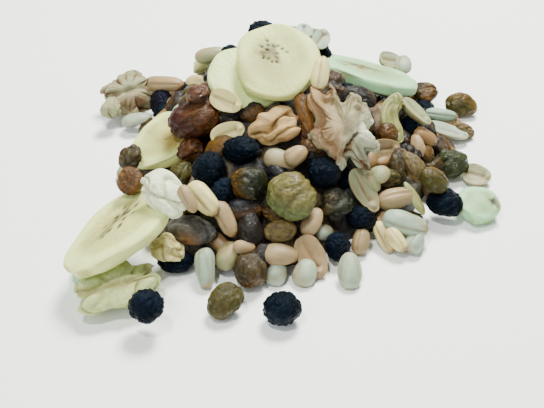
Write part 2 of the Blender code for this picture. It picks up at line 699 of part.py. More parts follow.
def joined_with(target, collection, operation):
    """Applies one Boolean between an object and a collection, and removes the collection's objects."""
    modifier = target.modifiers.new(operation.title(), "BOOLEAN")
    modifier.operation = operation
    modifier.solver = "MANIFOLD"
    modifier.operand_type = "COLLECTION"
    modifier.collection = collection
    evaluated = target.evaluated_get(bpy.context.evaluated_depsgraph_get())
    result = bpy.data.meshes.new_from_object(evaluated)
    target.modifiers.clear()
    target.data = result
    for scrap in list(collection.objects):
        bpy.data.objects.remove(scrap)
    bpy.data.collections.remove(collection)


def thinned(target, count):
    """Collapses the shortest edges of an object until a number of triangles is left."""
    modifier = target.modifiers.new("Thin", "DECIMATE")
    modifier.ratio = min(1.0, count / len(target.data.polygons))
    evaluated = target.evaluated_get(bpy.context.evaluated_depsgraph_get())
    result = bpy.data.meshes.new_from_object(evaluated)
    target.modifiers.clear()
    target.data = result


def keep_largest_body(mesh):
    """Keeps the body with the most vertices: loose scraps and sealed hollows go."""
    bm = bmesh.new()
    bm.from_mesh(mesh)
    bmesh.ops.triangulate(bm, faces=bm.faces)
    left = set(bm.verts)
    bodies = []
    while left:
        body = set()
        frontier = [left.pop()]
        while frontier:
            vert = frontier.pop()
            body.add(vert)
            for edge in vert.link_edges:
                other = edge.other_vert(vert)
                if other in left:
                    left.remove(other)
                    frontier.append(other)
        bodies.append(body)
    bodies.sort(key=len)
    for body in bodies[:-1]:
        bmesh.ops.delete(bm, geom=list(body), context="VERTS")
    bm.to_mesh(mesh)
    bm.free()


def build_heap(pieces):
    """The mound with the small pieces fused on, cut clear of the toppings."""
    scene = bpy.context.scene.collection
    heap = placed_object("trail_mix_heap", bed_mesh(), scene)
    small = bpy.data.collections.new("small_pieces")
    cutters = bpy.data.collections.new("toppings_grown")
    scene.children.link(small)
    scene.children.link(cutters)
    for piece in pieces:
        if piece[0]:
            placed_object(piece[0] + "_room", piece_mesh(piece, CLEARANCE), cutters)
        else:
            placed_object("small", piece_mesh(piece), small)
    joined_with(heap, small, "UNION")
    keep_largest_body(heap.data)
    thinned(heap, FUSED_TRIANGLES)
    joined_with(heap, cutters, "DIFFERENCE")
    keep_largest_body(heap.data)
    heap.data.materials.clear()
    heap.data.materials.append(solid_material("mixed nuts and raisins", (0.42, 0.30, 0.17), 0.55))
    heap.data.shade_smooth()
    heap.data.set_sharp_from_angle(angle=math.radians(50.0))


def build_toppings(pieces):
    """Each topping as an object."""
    looks = {
        "slice": solid_material("dried banana", (0.72, 0.70, 0.45), 0.5),
        "walnut": solid_material("walnut kernel", (0.52, 0.38, 0.20), 0.6),
        "curl": solid_material("dried fruit strip", (0.70, 0.62, 0.32), 0.5),
        "half": solid_material("peanut", (0.62, 0.50, 0.32), 0.5),
        "raisin": solid_material("green raisin", (0.17, 0.14, 0.05), 0.4),
        "berry": solid_material("dried blueberry", (0.01, 0.012, 0.02), 0.4),
    }
    looks["open_walnut"] = looks["walnut"]
    for piece in pieces:
        if piece[0]:
            mesh = piece_mesh(piece)
            mesh.materials.append(looks[piece[1]])
            mesh.shade_smooth()
            placed_object(piece[0], mesh, bpy.context.scene.collection)


def main():
    """Clears the scene and builds the heap and its toppings."""
    for old in list(bpy.data.objects):
        bpy.data.objects.remove(old)
    pieces = laid_out()
    build_heap(pieces)
    build_toppings(pieces)


if __name__ == "__main__":
    main()
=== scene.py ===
"""Dresses the solids of a heap of trail mix as real nuts, raisins, berries and dried banana.

The heap lies on a bare surface and is seen from -Y. Lengths in the functions are millimetres, and
meshes are metres. The layout below is the one the solids were built by: each piece slides along its
line of sight until it rests, so a piece here lies where its solid does. Only those drawn by chance lie
a little further from the eye.
"""

import collections
import functools
import math

import bpy
import numpy as np
from bpy.props import FloatProperty, FloatVectorProperty, PointerProperty
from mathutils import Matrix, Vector


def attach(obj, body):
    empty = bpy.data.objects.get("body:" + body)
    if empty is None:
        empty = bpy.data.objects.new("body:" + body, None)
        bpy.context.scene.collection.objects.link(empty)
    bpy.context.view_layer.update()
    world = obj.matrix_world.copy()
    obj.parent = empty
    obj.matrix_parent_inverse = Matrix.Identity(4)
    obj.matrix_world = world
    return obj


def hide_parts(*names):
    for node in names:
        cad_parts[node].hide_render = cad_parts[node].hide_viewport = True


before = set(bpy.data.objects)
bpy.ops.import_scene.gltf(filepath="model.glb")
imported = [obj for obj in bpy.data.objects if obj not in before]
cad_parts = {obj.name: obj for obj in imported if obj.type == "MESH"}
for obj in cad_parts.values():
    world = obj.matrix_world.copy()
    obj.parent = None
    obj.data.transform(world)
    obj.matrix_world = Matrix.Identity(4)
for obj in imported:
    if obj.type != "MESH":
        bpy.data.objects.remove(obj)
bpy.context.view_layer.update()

bl_info = {
    "name": "Trail Mix Heap",
    "version": (1, 0, 0),
    "blender": (4, 5, 0),
    "location": "View3D > Sidebar > Trail Mix",
    "description": "Builds the nuts, raisins, berries and dried fruit of a heap of trail mix",
    "category": "Add Mesh",
}

MM = 0.001
HEAP_NODE = "trail_mix_heap"

# The mound under the pieces: a blunt cone on an uneven foot, whose radii are 30 degrees apart from +X.
BED_MIDDLE = np.array((0.0, 7.0))
BED_HEIGHT = 38.0
BED_FOOT = np.array((60.0, 60.0, 58.0, 58.0, 58.0, 57.0, 51.0, 62.0, 65.0, 59.0, 52.0, 57.0))
BED_BLUNTNESS = 1.3

# The line of sight that the places below are read along: an eye above the front of the heap.
# A place is a pixel of the 544 by 408 picture, and AIM is the point of the surface at its middle.
PICTURE_MIDDLE = (272.0, 204.0)
AIM = np.array((-3.7, -15.0, 0.0))
EYE_DISTANCE = 340.0
EYE_ELEVATION = math.radians(40.0)
PIXELS_PER_MM = 3.0
RIGHT = np.array((1.0, 0.0, 0.0))
UPWARD = np.array((0.0, math.sin(EYE_ELEVATION), math.cos(EYE_ELEVATION)))
TOWARD = np.array((0.0, -math.cos(EYE_ELEVATION), math.sin(EYE_ELEVATION)))
UP = np.array((0.0, 0.0, 1.0))

# How the pieces meet, in mm. BITE is how deep a piece sinks into what it rests on, once a share
# of its underside that is pressed most is left out: per cent against all, and against toppings.
# LEAN is how far a piece tilts with the slope, as a share, and CLEARANCE lies between two toppings.
# BACK_STOP is how far back the wall behind the crest stands, and its slope to each side.
BITE = 1.0
SOFT_SHARE = 34.0
FIRM_SHARE = 10.0
LEAN = 0.5
FLOOR = 0.15
CLEARANCE = 0.4
BACK_STOP = (30.0, 0.28)
SETTLING_STEPS = 5

# The maps of what lies where: side of a cell and half their width in mm, cells each way, and the
# spacing of the points of the mound.
CELL = 1.0
REACH = 100.0
CELLS = int(2.0 * REACH / CELL)
BED_STEP = 0.4

# When a piece drawn by chance counts as seen: how near the surface it comes, in mm, and the shares
# of it that may come before the others over the back, in the gaps, and past the heap's outline.
SEEN_MARGIN = 0.3
BACK_SHOWN = 0.02
FILL_SHOWN = 0.25
PAST_SHOWN = 0.03

# Forms: thickness as a share of the width, or in mm, and how square a slice's edge is.
SLICE_THICKNESS = 5.6
SLICE_EDGE = 0.45
PEANUT_FLATNESS = 0.92
HALF_PEANUT_DEPTH = 0.84
RAISIN_FLATNESS = 0.8
BERRY_FLATNESS = 0.86
WALNUT_FLATNESS = 0.5
WALNUT_LOBES = 6
CURL_THICKNESS = 2.6

# Notches of the open walnut: angle in degrees, depth as a share of the radius, half width in degrees.
OPEN_NOTCHES = (
    (172.0, 0.3, 9.0),
    (140.0, 0.3, 7.0),
    (66.0, 0.2, 9.0),
    (24.0, 0.34, 9.0),
    (-24.0, 0.42, 12.0),
    (-72.0, 0.2, 9.0),
    (-128.0, 0.3, 14.0),
)

# Lumpy balls: flatness, waves over the ball and depth of the lumps.
PEBBLES = {
    "raisin": (RAISIN_FLATNESS, 2.6, 0.07),
    "berry": (BERRY_FLATNESS, 3.2, 0.03),
    "walnut_bit": (0.75, 2.8, 0.14),
    "shred": (0.8, 3.0, 0.1),
}

# Rings and segments of the forms while the layout is worked out.
SAMPLES = (40, 60)
TOPPING_SAMPLES = (90, 130)

# Each piece: kind, pixel across, pixel down, length, width in mm, turn, tip and roll in degrees, and
# look. Turn is anticlockwise in the picture, tip brings the right-hand end nearer, and roll turns it
# about its length. At zero its broad face is square to the line of sight. Deepest pieces first.
HOLLOWS = (
    ("raisin", 334, 92, 10.0, 8.0, 10, 0, 0, "raisin_dark"),
    ("raisin", 360, 97, 12.0, 8.0, -20, 0, 0, "raisin_dark"),
    ("raisin", 252, 112, 9.0, 7.0, 0, 0, 0, "raisin_dark"),
    ("raisin", 230, 115, 9.0, 7.0, 30, 0, 0, "raisin_dark"),
    ("raisin", 309, 131, 10.0, 7.0, 90, 0, 0, "raisin_red"),
    ("raisin", 312, 150, 9.0, 8.0, 0, 0, 0, "raisin_dark"),
    ("berry", 411, 126, 9.5, 8.5, 90, 0, 0, "berry_navy"),
    ("berry", 221, 192, 10.5, 9.0, 40, 0, 0, "berry_black"),
    ("raisin", 388, 133, 8.0, 7.0, 0, 0, 0, "raisin_dark"),
    ("raisin", 388, 178, 10.0, 7.0, 0, 0, 0, "raisin_olive"),
    ("berry", 362, 219, 11.0, 8.5, 0, 0, 0, "berry_black"),
    ("raisin", 244, 209, 12.0, 8.0, -10, 0, 0, "raisin_plum"),
    ("raisin", 275, 212, 9.0, 8.0, 0, 0, 0, "raisin_deep_green"),
    ("berry", 176, 261, 12.0, 8.0, 0, 0, 0, "berry_black"),
    ("berry", 338, 247, 9.8, 8.8, 90, 0, 0, "berry_black"),
    ("raisin", 250, 231, 12.0, 9.0, 95, 0, 0, "raisin_dark"),
    ("raisin", 150, 165, 9.0, 8.0, 40, 0, 0, "raisin_dark"),
    ("raisin", 407, 97, 9.0, 6.0, 0, 0, 0, "raisin_dark"),
    ("raisin", 160, 218, 9.0, 8.0, 90, 0, 0, "raisin_brown"),
    ("raisin", 260, 258, 9.0, 8.0, 90, 0, 0, "raisin_dark"),
    ("whole", 425, 137, 9.0, 6.0, -30, 0, 0, "peanut_brown"),
    ("whole", 448, 122, 10.0, 6.0, -10, 0, 0, "peanut_tan"),
)
BACK_ROW = (
    ("berry", 262, 31, 10.0, 9.0, 0, 0, 0, "berry_black"),
    ("berry", 230, 52, 7.0, 6.0, 0, 0, 0, "berry_black"),
    ("berry", 321, 53, 8.0, 7.0, 0, 0, 0, "berry_black"),
    ("half", 304, 32, 7.0, 6.0, 90, 0, 0, "peanut_white"),
    ("half", 320, 40, 10.0, 6.5, 60, 0, 20, "peanut_white"),
    ("half", 390, 62, 9.0, 8.0, 0, 0, 0, "peanut_pink"),
    ("half", 403, 63, 9.0, 6.5, 75, 0, 160, "peanut_white"),
    ("whole", 210, 55, 11.5, 6.0, 5, 0, 0, "peanut_grey"),
    ("raisin", 425, 93, 10.5, 9.5, 0, 0, 0, "raisin_brown"),
)
MIDDLE_ROW = (
    ("walnut_bit", 110, 109, 9.0, 7.0, 60, 0, 0, "walnut_pale"),
    ("half", 198, 81, 10.0, 7.0, -30, 0, 150, "peanut_cream"),
    ("berry", 161, 101, 10.5, 8.5, 80, 0, 0, "berry_purple"),
    ("raisin", 463, 130, 9.0, 6.0, -20, 0, 0, "raisin_tan"),
    ("whole", 441, 115, 12.0, 5.0, -8, 0, 30, "peanut_white"),
    ("raisin", 130, 158, 9.5, 8.5, 70, 0, 0, "raisin_brown"),
    ("raisin", 130, 181, 9.5, 8.5, 90, 0, 0, "raisin_orange"),
    ("raisin", 427, 154, 8.0, 5.0, 90, 0, 0, "raisin_brown"),
    ("raisin", 451, 164, 13.0, 12.0, 0, 0, 0, "raisin_grey_green"),
    ("raisin", 305, 112, 15.0, 5.0, -72, 0, 0, "raisin_orange"),
    ("half", 380, 173, 7.0, 6.5, 30, 0, 150, "peanut_grey"),
    ("half", 372, 181, 8.0, 4.5, -50, 0, 180, "peanut_grey"),
    ("raisin", 337, 205, 11.5, 10.5, 20, 0, 0, "raisin_deep_green"),
    ("berry", 444, 203, 13.5, 10.5, -10, 0, 0, "berry_black"),
    ("raisin", 249, 185, 12.0, 11.5, -40, 0, 0, "raisin_deep_green"),
    ("half", 280, 160, 10.5, 7.0, -20, 0, 180, "peanut_pink"),
    ("whole", 296, 156, 8.0, 6.5, 30, 0, 0, "peanut_tan"),
    ("raisin", 281, 231, 11.0, 7.0, 5, 0, 0, "raisin_tan"),
    ("half", 244, 247, 7.0, 4.5, 0, 0, 180, "peanut_tan"),
    ("whole", 361, 241, 8.5, 6.0, 80, 0, 0, "peanut_tan"),
    ("half", 276, 272, 8.5, 6.8, 80, 0, 180, "peanut_white"),
    ("half", 305, 272, 9.0, 7.5, 70, 0, 180, "peanut_white"),
    ("half", 325, 232, 6.0, 5.0, 0, 0, 180, "peanut_white"),
    ("whole", 415, 242, 8.0, 6.5, 60, 0, 0, "peanut_white"),
    ("whole", 384, 237, 11.0, 5.5, -65, 0, 0, "peanut_cream"),
    ("whole", 396, 240, 9.0, 5.5, -55, 0, 0, "peanut_cream"),
)
FRONT_ROW = (
    ("half", 136, 118, 11.0, 6.5, 12, 0, 150, "peanut_white"),
    ("whole", 166, 84, 15.0, 6.5, -12, 0, 0, "peanut_tan"),
    ("raisin", 181, 172, 8.5, 8.0, 90, 0, 0, "raisin_olive"),
    ("raisin", 190, 150, 9.5, 8.0, 10, 0, 0, "raisin_amber"),
    ("half", 228, 133, 11.5, 7.0, 20, 0, 20, "peanut_cream"),
    ("half", 227, 101, 11.5, 7.0, -25, 0, 20, "peanut_cream"),
    ("raisin", 195, 119, 17.0, 14.0, 20, 0, 0, "raisin_red"),
    ("raisin", 197, 94, 8.5, 7.0, 0, 0, 0, "raisin_red_grey"),
    ("whole", 321, 73, 11.5, 6.0, 80, 0, 0, "peanut_cream"),
    ("berry", 324, 172, 11.8, 11.0, 0, 0, 0, "berry_black"),
    ("berry", 209, 171, 13.5, 11.5, 80, 0, 0, "berry_black"),
    ("berry", 241, 150, 13.0, 9.5, -5, 0, 0, "berry_black"),
    ("half", 383, 149, 11.5, 6.8, 8, 0, 20, "peanut_tan"),
    ("whole", 396, 198, 12.5, 7.2, 12, 0, 0, "peanut_tan"),
    ("half", 363, 191, 15.5, 8.2, -62, 0, -20, "peanut_pink"),
    ("raisin", 400, 164, 11.0, 8.0, 90, 0, 0, "raisin_brown"),
    ("raisin", 415, 167, 10.5, 7.0, 105, 0, 0, "raisin_tan"),
    ("raisin", 434, 181, 12.0, 8.0, -40, 0, 0, "raisin_olive"),
    ("half", 416, 146, 8.5, 5.5, 100, 0, 120, "peanut_tan"),
    ("half", 415, 113, 12.5, 8.0, -43, 0, -25, "peanut_grey"),
    ("half", 447, 132, 15.5, 7.5, -18, 0, -25, "peanut_white"),
    ("half", 476, 176, 10.0, 8.0, -15, 0, 0, "peanut_pink"),
    ("raisin", 291, 196, 15.8, 15.5, 0, 0, 0, "raisin_green"),
    ("whole", 226, 219, 12.0, 6.0, -65, 0, 0, "peanut_tan"),
    ("walnut_bit", 165, 193, 18.0, 10.5, -35, 0, 0, "kernel_white"),
    ("whole", 188, 199, 9.0, 4.5, -60, 0, 0, "peanut_tan"),
    ("whole", 203, 199, 13.0, 7.8, -48, 0, 0, "peanut_cream"),
    ("walnut_bit", 166, 248, 10.5, 8.5, -30, 0, 0, "peanut_cream"),
    ("raisin", 190, 230, 17.0, 10.0, -8, 0, 0, "raisin_lilac"),
    ("whole", 205, 268, 12.5, 7.0, -86, 0, 0, "peanut_white"),
    ("half", 226, 255, 9.5, 7.5, 65, 0, 150, "peanut_grey"),
    ("raisin", 249, 271, 11.5, 11.0, 60, 0, 0, "raisin_brown"),
    ("half", 280, 253, 11.5, 7.5, -3, 0, 150, "peanut_tan"),
    ("half", 311, 221, 9.8, 6.6, 62, 0, 140, "peanut_tan"),
    ("half", 311, 257, 14.2, 8.8, -62, 0, 0, "peanut_tan"),
    ("whole", 406, 224, 15.0, 8.6, -15, 0, 0, "peanut_white"),
    ("shred", 415, 200, 13.0, 3.2, -58, 0, 0, "fruit_yellow"),
)

# Objects of their own: name, how far it leans with the slope, then as above. They stay clear of
# each other and of the small pieces.
LOW_TOPPINGS = (
    ("walnut_left", 0.4, "walnut", 131, 96, 24.0, 20.0, 20, 0, 0, "walnut_pale"),
    ("banana_slice_left", 0.4, "slice", 163, 142, 22.0, 19.0, 30, 0, -10, "banana_cream"),
    ("banana_slice_beneath_top", 0.0, "slice", 248, 78, 26.0, 25.0, -10, 0, -30, "banana_pale"),
    ("banana_slice_right", 0.0, "slice", 366, 75, 36.0, 24.0, -15, 0, -66, "banana_pale"),
    ("banana_slice_top", 0.0, "slice", 277, 62, 27.0, 26.5, 0, 0, -20, "banana_cream"),
    ("banana_slice_edge", 0.4, "slice", 478, 205, 14.0, 12.5, -20, 0, -10, "banana_pale"),
    ("fruit_curl", 0.3, "curl", 388, 117, 19.0, 8.5, -75, 0, 0, "fruit_yellow"),
    ("banana_chip_front", 0.8, "slice", 92, 269, 13.0, 11.0, 25, 0, 0, "banana_pale"),
    ("walnut_front", 0.9, "walnut", 118, 287, 29.0, 18.5, 28, 0, 0, "kernel_cream"),
    ("banana_slice_front", 0.0, "slice", 119, 231, 38.5, 25.0, 43, -22, -50, "banana_cream"),
)
HIGH_TOPPINGS = (
    ("walnut_right", 0.3, "open_walnut", 342, 129, 33.0, 22.0, -60, 0, 0, "walnut_tan"),
    ("walnut_middle", 0.3, "walnut", 277, 126, 17.5, 12.5, 20, 0, 0, "kernel_orange"),
)
EDGE_TOPPINGS = (
    ("raisin_right", 0.3, "raisin", 460, 104, 12.5, 9.5, -20, 0, 0, "raisin_olive"),
    ("peanut_front", 0.3, "half", 350, 270, 11.8, 7.5, 90, 0, 180, "peanut_white"),
    ("raisin_front", 0.3, "raisin", 226, 301, 12.5, 10.0, 42, 0, 0, "raisin_olive"),
    ("blueberry_front_left", 0.3, "berry", 147, 306, 11.4, 10.8, 0, 0, 0, "berry_black"),
    ("blueberry_front", 0.3, "berry", 282, 309, 12.0, 11.0, 0, 0, 0, "berry_black"),
)

# Behind the crest, out of that sight: name, kind, x, y, length and width in mm, and heading.
BACK_TOPPINGS = (
    ("banana_slice_back_left", "slice", -21.0, 60.0, 27.0, 24.0, 40, "banana_cream"),
    ("banana_slice_back_right", "slice", 22.0, 57.0, 31.0, 24.0, -20, "banana_pale"),
    ("walnut_back", "walnut", -4.0, 49.0, 26.0, 20.0, 80, "walnut_tan"),
)

# Pieces drawn by chance: those that lie over the back, and those that fill what is left bare.
# Angles are in radians and lengths in mm. The least is a share of the mound's area, the spill goes past
# its foot, and a pile or a bare margin is a height over it.
BACK_SEED = 7
BACK_COUNT = 56
BACK_TRIES = 900
BACK_MIX = ("half", "raisin", "whole", "berry", "raisin", "half", "berry", "raisin")
BACK_ANGLES = (-0.5, math.pi + 0.5)
BACK_LEAST = 0.02
BACK_SPILL = 8.0
BACK_PILE = 3.0
FILL_MIX = ("raisin", "half", "berry", "raisin", "whole")
FILL_SCALE = 0.8
FILL_BITES = (2.4, 4.4, 6.4)
FILL_SPACING = 3.6
FILL_JITTER = 1.5
FILL_LEAST = 1.0
BARE_MARGIN = 1.5
SIZES = {"half": (14.0, 8.2), "whole": (13.5, 7.4), "raisin": (13.5, 11.0), "berry": (12.0, 11.0)}
SIZE_SPREAD = (0.85, 1.08)

# What drawn pieces look like, taken in turn, and after how many pieces the turn starts again.
LOOK_CYCLE = 7
DRAWN_LOOKS = {
    "half": ("peanut_cream", "peanut_tan", "peanut_white", "peanut_pink"),
    "whole": ("peanut_tan", "peanut_cream", "peanut_grey"),
    "raisin": (
        "raisin_olive", "raisin_brown", "raisin_dark", "raisin_green", "raisin_amber", "raisin_plum",
    ),
    "berry": ("berry_black", "berry_navy", "berry_black", "berry_purple"),
}
# Pieces that fill the gaps take darker looks than those over the back: painted shade, since they lie deep
# between the others.
FILL_LOOKS_IN_SHADE = {
    "half": ("peanut_shade", "peanut_brown"),
    "whole": ("peanut_brown", "peanut_shade"),
    "raisin": ("raisin_dark", "raisin_brown", "raisin_olive", "raisin_plum", "raisin_deep_green"),
    "berry": ("berry_black", "berry_navy"),
}

# Named colours, as sRGB hex: how each kind of piece looks in daylight. Some stand in for light and
# shade: the dark peanut tone and the core's tone are painted shade, the lilac raisin tone a painted sky
# reflection, the raisin glow a painted glow of light through thin skin and the berry bloom partly a
# painted sheen, and the peanut and walnut browns also paint the shade in creases.
LOOKS = {
    "peanut_white": "#92A892",
    "peanut_cream": "#D6C986",
    "peanut_grey": "#879066",
    "peanut_tan": "#907B57",
    "peanut_pink": "#868A69",
    # A real brown, and painted shade where it darkens grooves, clefts, dents and seams.
    "peanut_brown": "#86663C",
    # Painted shade: a darkened peanut tone for pieces deep in the gaps.
    "peanut_shade": "#5F4829",
    "peanut_skin": "#A5835A",
    "raisin_red": "#280100",
    "raisin_red_grey": "#563727",
    "raisin_amber": "#432100",
    "raisin_orange": "#543511",
    "raisin_olive": "#3B350E",
    "raisin_green": "#535A31",
    "raisin_deep_green": "#141801",
    "raisin_grey_green": "#2A3012",
    "raisin_brown": "#362A10",
    "raisin_tan": "#60502E",
    "raisin_dark": "#150F0A",
    "raisin_plum": "#100F14",
    # Painted reflection: this grey lilac is the sky seen on a raisin's top, laid over the whole raisin.
    "raisin_lilac": "#5A5853",
    # Painted glow: amber light through a raisin's thin skin.
    "raisin_glow": "#84560F",
    "berry_black": "#010305",
    "berry_navy": "#02050C",
    "berry_purple": "#100710",
    # Partly painted sheen: this bloom tone lightens a berry's ridges, where its highlights fall.
    "berry_bloom": "#0B1220",
    "banana_cream": "#D8E08E",
    "banana_pale": "#9CCB98",
    "banana_gold": "#86722A",
    "banana_heart": "#6B6338",
    "banana_seed": "#120C08",
    "walnut_tan": "#929E82",
    "walnut_pale": "#95956F",
    # A real brown, and painted shade where it darkens a walnut's folds.
    "walnut_brown": "#6A4B2E",
    "walnut_warm": "#A87B4C",
    "kernel_orange": "#B4915C",
    "kernel_white": "#EAF2CC",
    "kernel_cream": "#BAC680",
    "fruit_yellow": "#9CAA73",
    "core_shade": "#2A2018",
}

# Green raisins let more light through than brown ones, so they have a material of their own.
GREEN_LOOKS = ("raisin_olive", "raisin_green", "raisin_deep_green", "raisin_grey_green", "raisin_lilac")
BROWN_LOOKS = tuple(look for look in LOOKS if look not in GREEN_LOOKS)

# Rings and segments of a piece seen from near, and of one drawn by chance.
FINE = {
    "half": (30, 44),
    "whole": (30, 40),
    "raisin": (46, 60),
    "berry": (50, 68),
    "walnut_bit": (50, 70),
    "shred": (40, 24),
    "walnut": (80, 168),
    "open_walnut": (88, 200),
    "curl": (80, 48),
}
COARSE = {"half": (16, 24), "whole": (16, 22), "raisin": (26, 34), "berry": (26, 34)}

# A slice's segments, and its rings: from where to where and how many over the heart and over the
# flesh, by the distance from the middle with 1 at the rim, and how many round the rim.
SLICE_SEGMENTS = 132
HEART_RINGS = (0.03, 0.5, 22)
FLESH_RINGS = (0.55, 0.93, 8)
RIM_RINGS = 14

# Relief: seeds in a slice, seams of a smooth kernel by height across it from -1 to 1 and how deep
# each is, and pieces whose folds are made shallower by a share.
SEEDS_IN_SLICE = 17
SEAMS = ((0.1, 1.0), (-0.64, 0.7))
FOLDS_KEPT = {"walnut_front": 0.5}

# How far a piece drawn by chance lies behind its solid, and how far its pattern may be shifted, in mm.
DRAWN_SINK = 1.5
PATTERN_SHIFT = 500.0

# Hearts of slices off their middles, as shares of half the length and width.
HEARTS = {
    "banana_slice_top": (-0.12, 0.17),
    "banana_slice_front": (0.15, 0.08),
    "banana_slice_right": (-0.13, 0.03),
    "banana_slice_left": (0.5, -0.3),
    "banana_slice_edge": (0.75, 0.25),
}

# Stains and painted glows, by the name of a topping or the look of a small piece: tone, x, y and radius in
# mm, share.
STAINS_AND_GLOWS = {
    "banana_slice_top": (("banana_gold", -10.5, -5.0, 5.5, 0.5), ("banana_gold", 3.0, -12.0, 6.0, 0.3)),
    # The amber patch on this slice is a painted glow.
    "banana_slice_left": (("banana_gold", 3.5, -3.5, 5.5, 1.0), ("raisin_glow", 7.0, -3.0, 3.0, 0.5)),
    "banana_slice_beneath_top": (("banana_cream", 0.0, 0.0, 40.0, 0.8),),
    "banana_slice_edge": (("banana_seed", 4.2, 1.5, 1.2, 0.8),),
    "walnut_left": (("walnut_brown", -2.0, -4.0, 2.8, 0.7), ("walnut_brown", 2.4, -5.0, 3.2, 0.95)),
    "walnut_right": (
        ("walnut_warm", -13.0, -3.3, 7.0, 0.6),
        ("walnut_warm", 2.5, -5.8, 6.0, 0.45),
        ("peanut_grey", -5.3, 4.1, 6.0, 0.5),
        ("kernel_white", 4.5, 6.5, 4.0, 0.7),
    ),
    # Painted glow: amber light through the skin at the bottom of the raisin that has the painted
    # reflection.
    "raisin_lilac": (("raisin_glow", 0.0, -5.0, 3.6, 0.8),),
    "raisin_red": (("raisin_orange", 0.5, 1.0, 3.2, 0.8),),
}

# The heap's inside: rings and segments, how far it stops short of the mound's foot, its domes, their
# radii and the height over which a dome takes its piece's tone, in mm, and how much of it. That share
# darkens the tone as painted shade, and between the domes the inside has a dark painted shade of its own.
CORE_SEED = 11
CORE_FACES = (80, 220)
CORE_SHORT = 7.0
CORE_DOMES = 900
CORE_RADII = (4.0, 6.5)
CORE_RIM = 6.0
CORE_TONE_IN_SHADE = 0.5
CORE_LOOKS = ("raisin_brown", "peanut_tan", "berry_black", "raisin_olive", "peanut_brown", "raisin_dark")

# Floor, and lights by place over it and side of the square, in metres. The grain is in mm.
FLOOR_COLOUR = "#FAFBF8"
FLOOR_GRAIN = 2.5
KEY_PLACE = (0.12, 0.3, 0.6)
KEY_SIZE = 0.22
KEY_COLOUR = "#FBFDF6"
FILL_PLACE = (-0.35, -0.5, 0.45)
FILL_SIZE = 0.5
FILL_COLOUR = "#EEF6FF"
LAMP_PLACE = (-0.15, -0.2, 0.7)
LAMP_SIZE = 0.045
SKY_COLOUR = "#EDF4F0"

# Camera: sensor in mm, nearest distance it sees in metres, and width of the picture in pixels.
SENSOR_WIDTH = 36.0
CLIP_START = 0.01
PICTURE_WIDTH = 2.0 * PICTURE_MIDDLE[0]

# The blue light that a berry's bloom sends back.
BLOOM_SHEEN = "#8FB4E4"

# One piece of the layout: size is its length and width, and drawn says that it was drawn by chance.
Piece = collections.namedtuple("Piece", "name kind size seed turning centre look drawn")


def even_rings(rings):
    """Polar angles of evenly spaced rings, without the poles."""
    return np.arange(1, rings) * math.pi / rings


def lattice(angles, segments):
    """Directions over a ball as polar angle and angle round the pole: a pole, the rings, a pole."""
    around = np.tile(np.arange(segments) * math.tau / segments, len(angles))
    return np.r_[0.0, np.repeat(angles, segments), math.pi], np.r_[0.0, around, 0.0]


def lumps(directions, seed, waves, count=5):
    """Sum of a few sine waves along seeded directions, about -1 to 1."""
    random = np.random.default_rng(seed)
    total = np.zeros(len(directions))
    for _ in range(count):
        heading = random.normal(size=3)
        heading *= waves / np.linalg.norm(heading)
        total += np.sin(directions @ heading + random.uniform(0.0, math.tau))
    return total / math.sqrt(count)


def ball_of(polar, around):
    """Unit directions: the pole along x, and the angle round it measured from y towards z."""
    return np.c_[np.cos(polar), np.sin(polar) * np.cos(around), np.sin(polar) * np.sin(around)]


def lying_ball_of(polar, around):
    """Unit directions: the pole along z, and the angle round it measured from x towards y."""
    return np.c_[np.sin(polar) * np.cos(around), np.sin(polar) * np.sin(around), np.cos(polar)]


def half_peanut(polar, around, length, width, seed):
    """An egg outline, flat on the side that faces up and domed on the other.

    The girth is a power of the sine of the polar angle, more at one end by its cosine. The height is
    the girth times the sine round the axis, little of it above and HALF_PEANUT_DEPTH of it below.
    """
    girth = 0.5 * width * np.sin(polar) ** 0.85 * (1.0 - 0.12 * np.cos(polar))
    up = np.sin(around)
    height = np.where(up > 0.0, 0.12, HALF_PEANUT_DEPTH) * girth * up
    return np.c_[0.5 * length * np.cos(polar), girth * np.cos(around), height + 0.16 * width]


def whole_peanut(polar, around, length, width, seed):
    """A long egg, a little narrower at its middle.

    The girth is a power of the sine of the polar angle, less a share of its cosine and of the squared
    cosine of its double. The depth is PEANUT_FLATNESS of the girth.
    """
    waist = 1.0 - 0.1 * np.cos(polar) - 0.06 * np.cos(2.0 * polar) ** 2
    girth = 0.5 * width * np.sin(polar) ** 0.8 * waist
    depth = PEANUT_FLATNESS * girth
    return np.c_[0.5 * length * np.cos(polar), girth * np.cos(around), depth * np.sin(around)]


def pebble(polar, around, length, width, seed, flatness, waves, depth):
    """A ball of radius 1 plus a depth times the lumps, pressed to its length, width and flatness."""
    ball = ball_of(polar, around)
    swell = 1.0 + depth * lumps(ball, seed, waves)
    return ball * swell[:, None] * np.array((length, width, flatness * width)) * 0.5


def banana_slice(polar, around, length, width, seed):
    """A thick oval disc whose edge is rounded, with a slightly three-sided outline and warp.

    The distance from the middle and the height are the sine and the cosine of the polar angle, each
    to the power SLICE_EDGE. The warp is the product of x and y.
    """
    outline = 1.0 + 0.025 * np.cos(3.0 * around + seed) + 0.015 * np.cos(5.0 * around)
    reach = np.sin(polar) ** SLICE_EDGE * outline
    x = 0.5 * length * reach * np.cos(around)
    y = 0.5 * width * reach * np.sin(around)
    rise = np.sign(np.cos(polar)) * np.abs(np.cos(polar)) ** SLICE_EDGE
    warp = 0.9 * (x * y) / (length * width) * 4.0
    return np.c_[x, y, 0.5 * SLICE_THICKNESS * rise + warp]


def notched(edge, notches):
    """How deep notches cut at each angle round an edge: the deepest of bell curves.

    A notch has an angle, a depth and a half width.
    """
    deepest = np.zeros_like(edge)
    for degrees, depth, half_width in notches:
        apart = (edge - math.radians(degrees) + math.pi) % math.tau - math.pi
        deepest = np.maximum(deepest, depth * np.exp(-((apart / math.radians(half_width)) ** 2)))
    return deepest


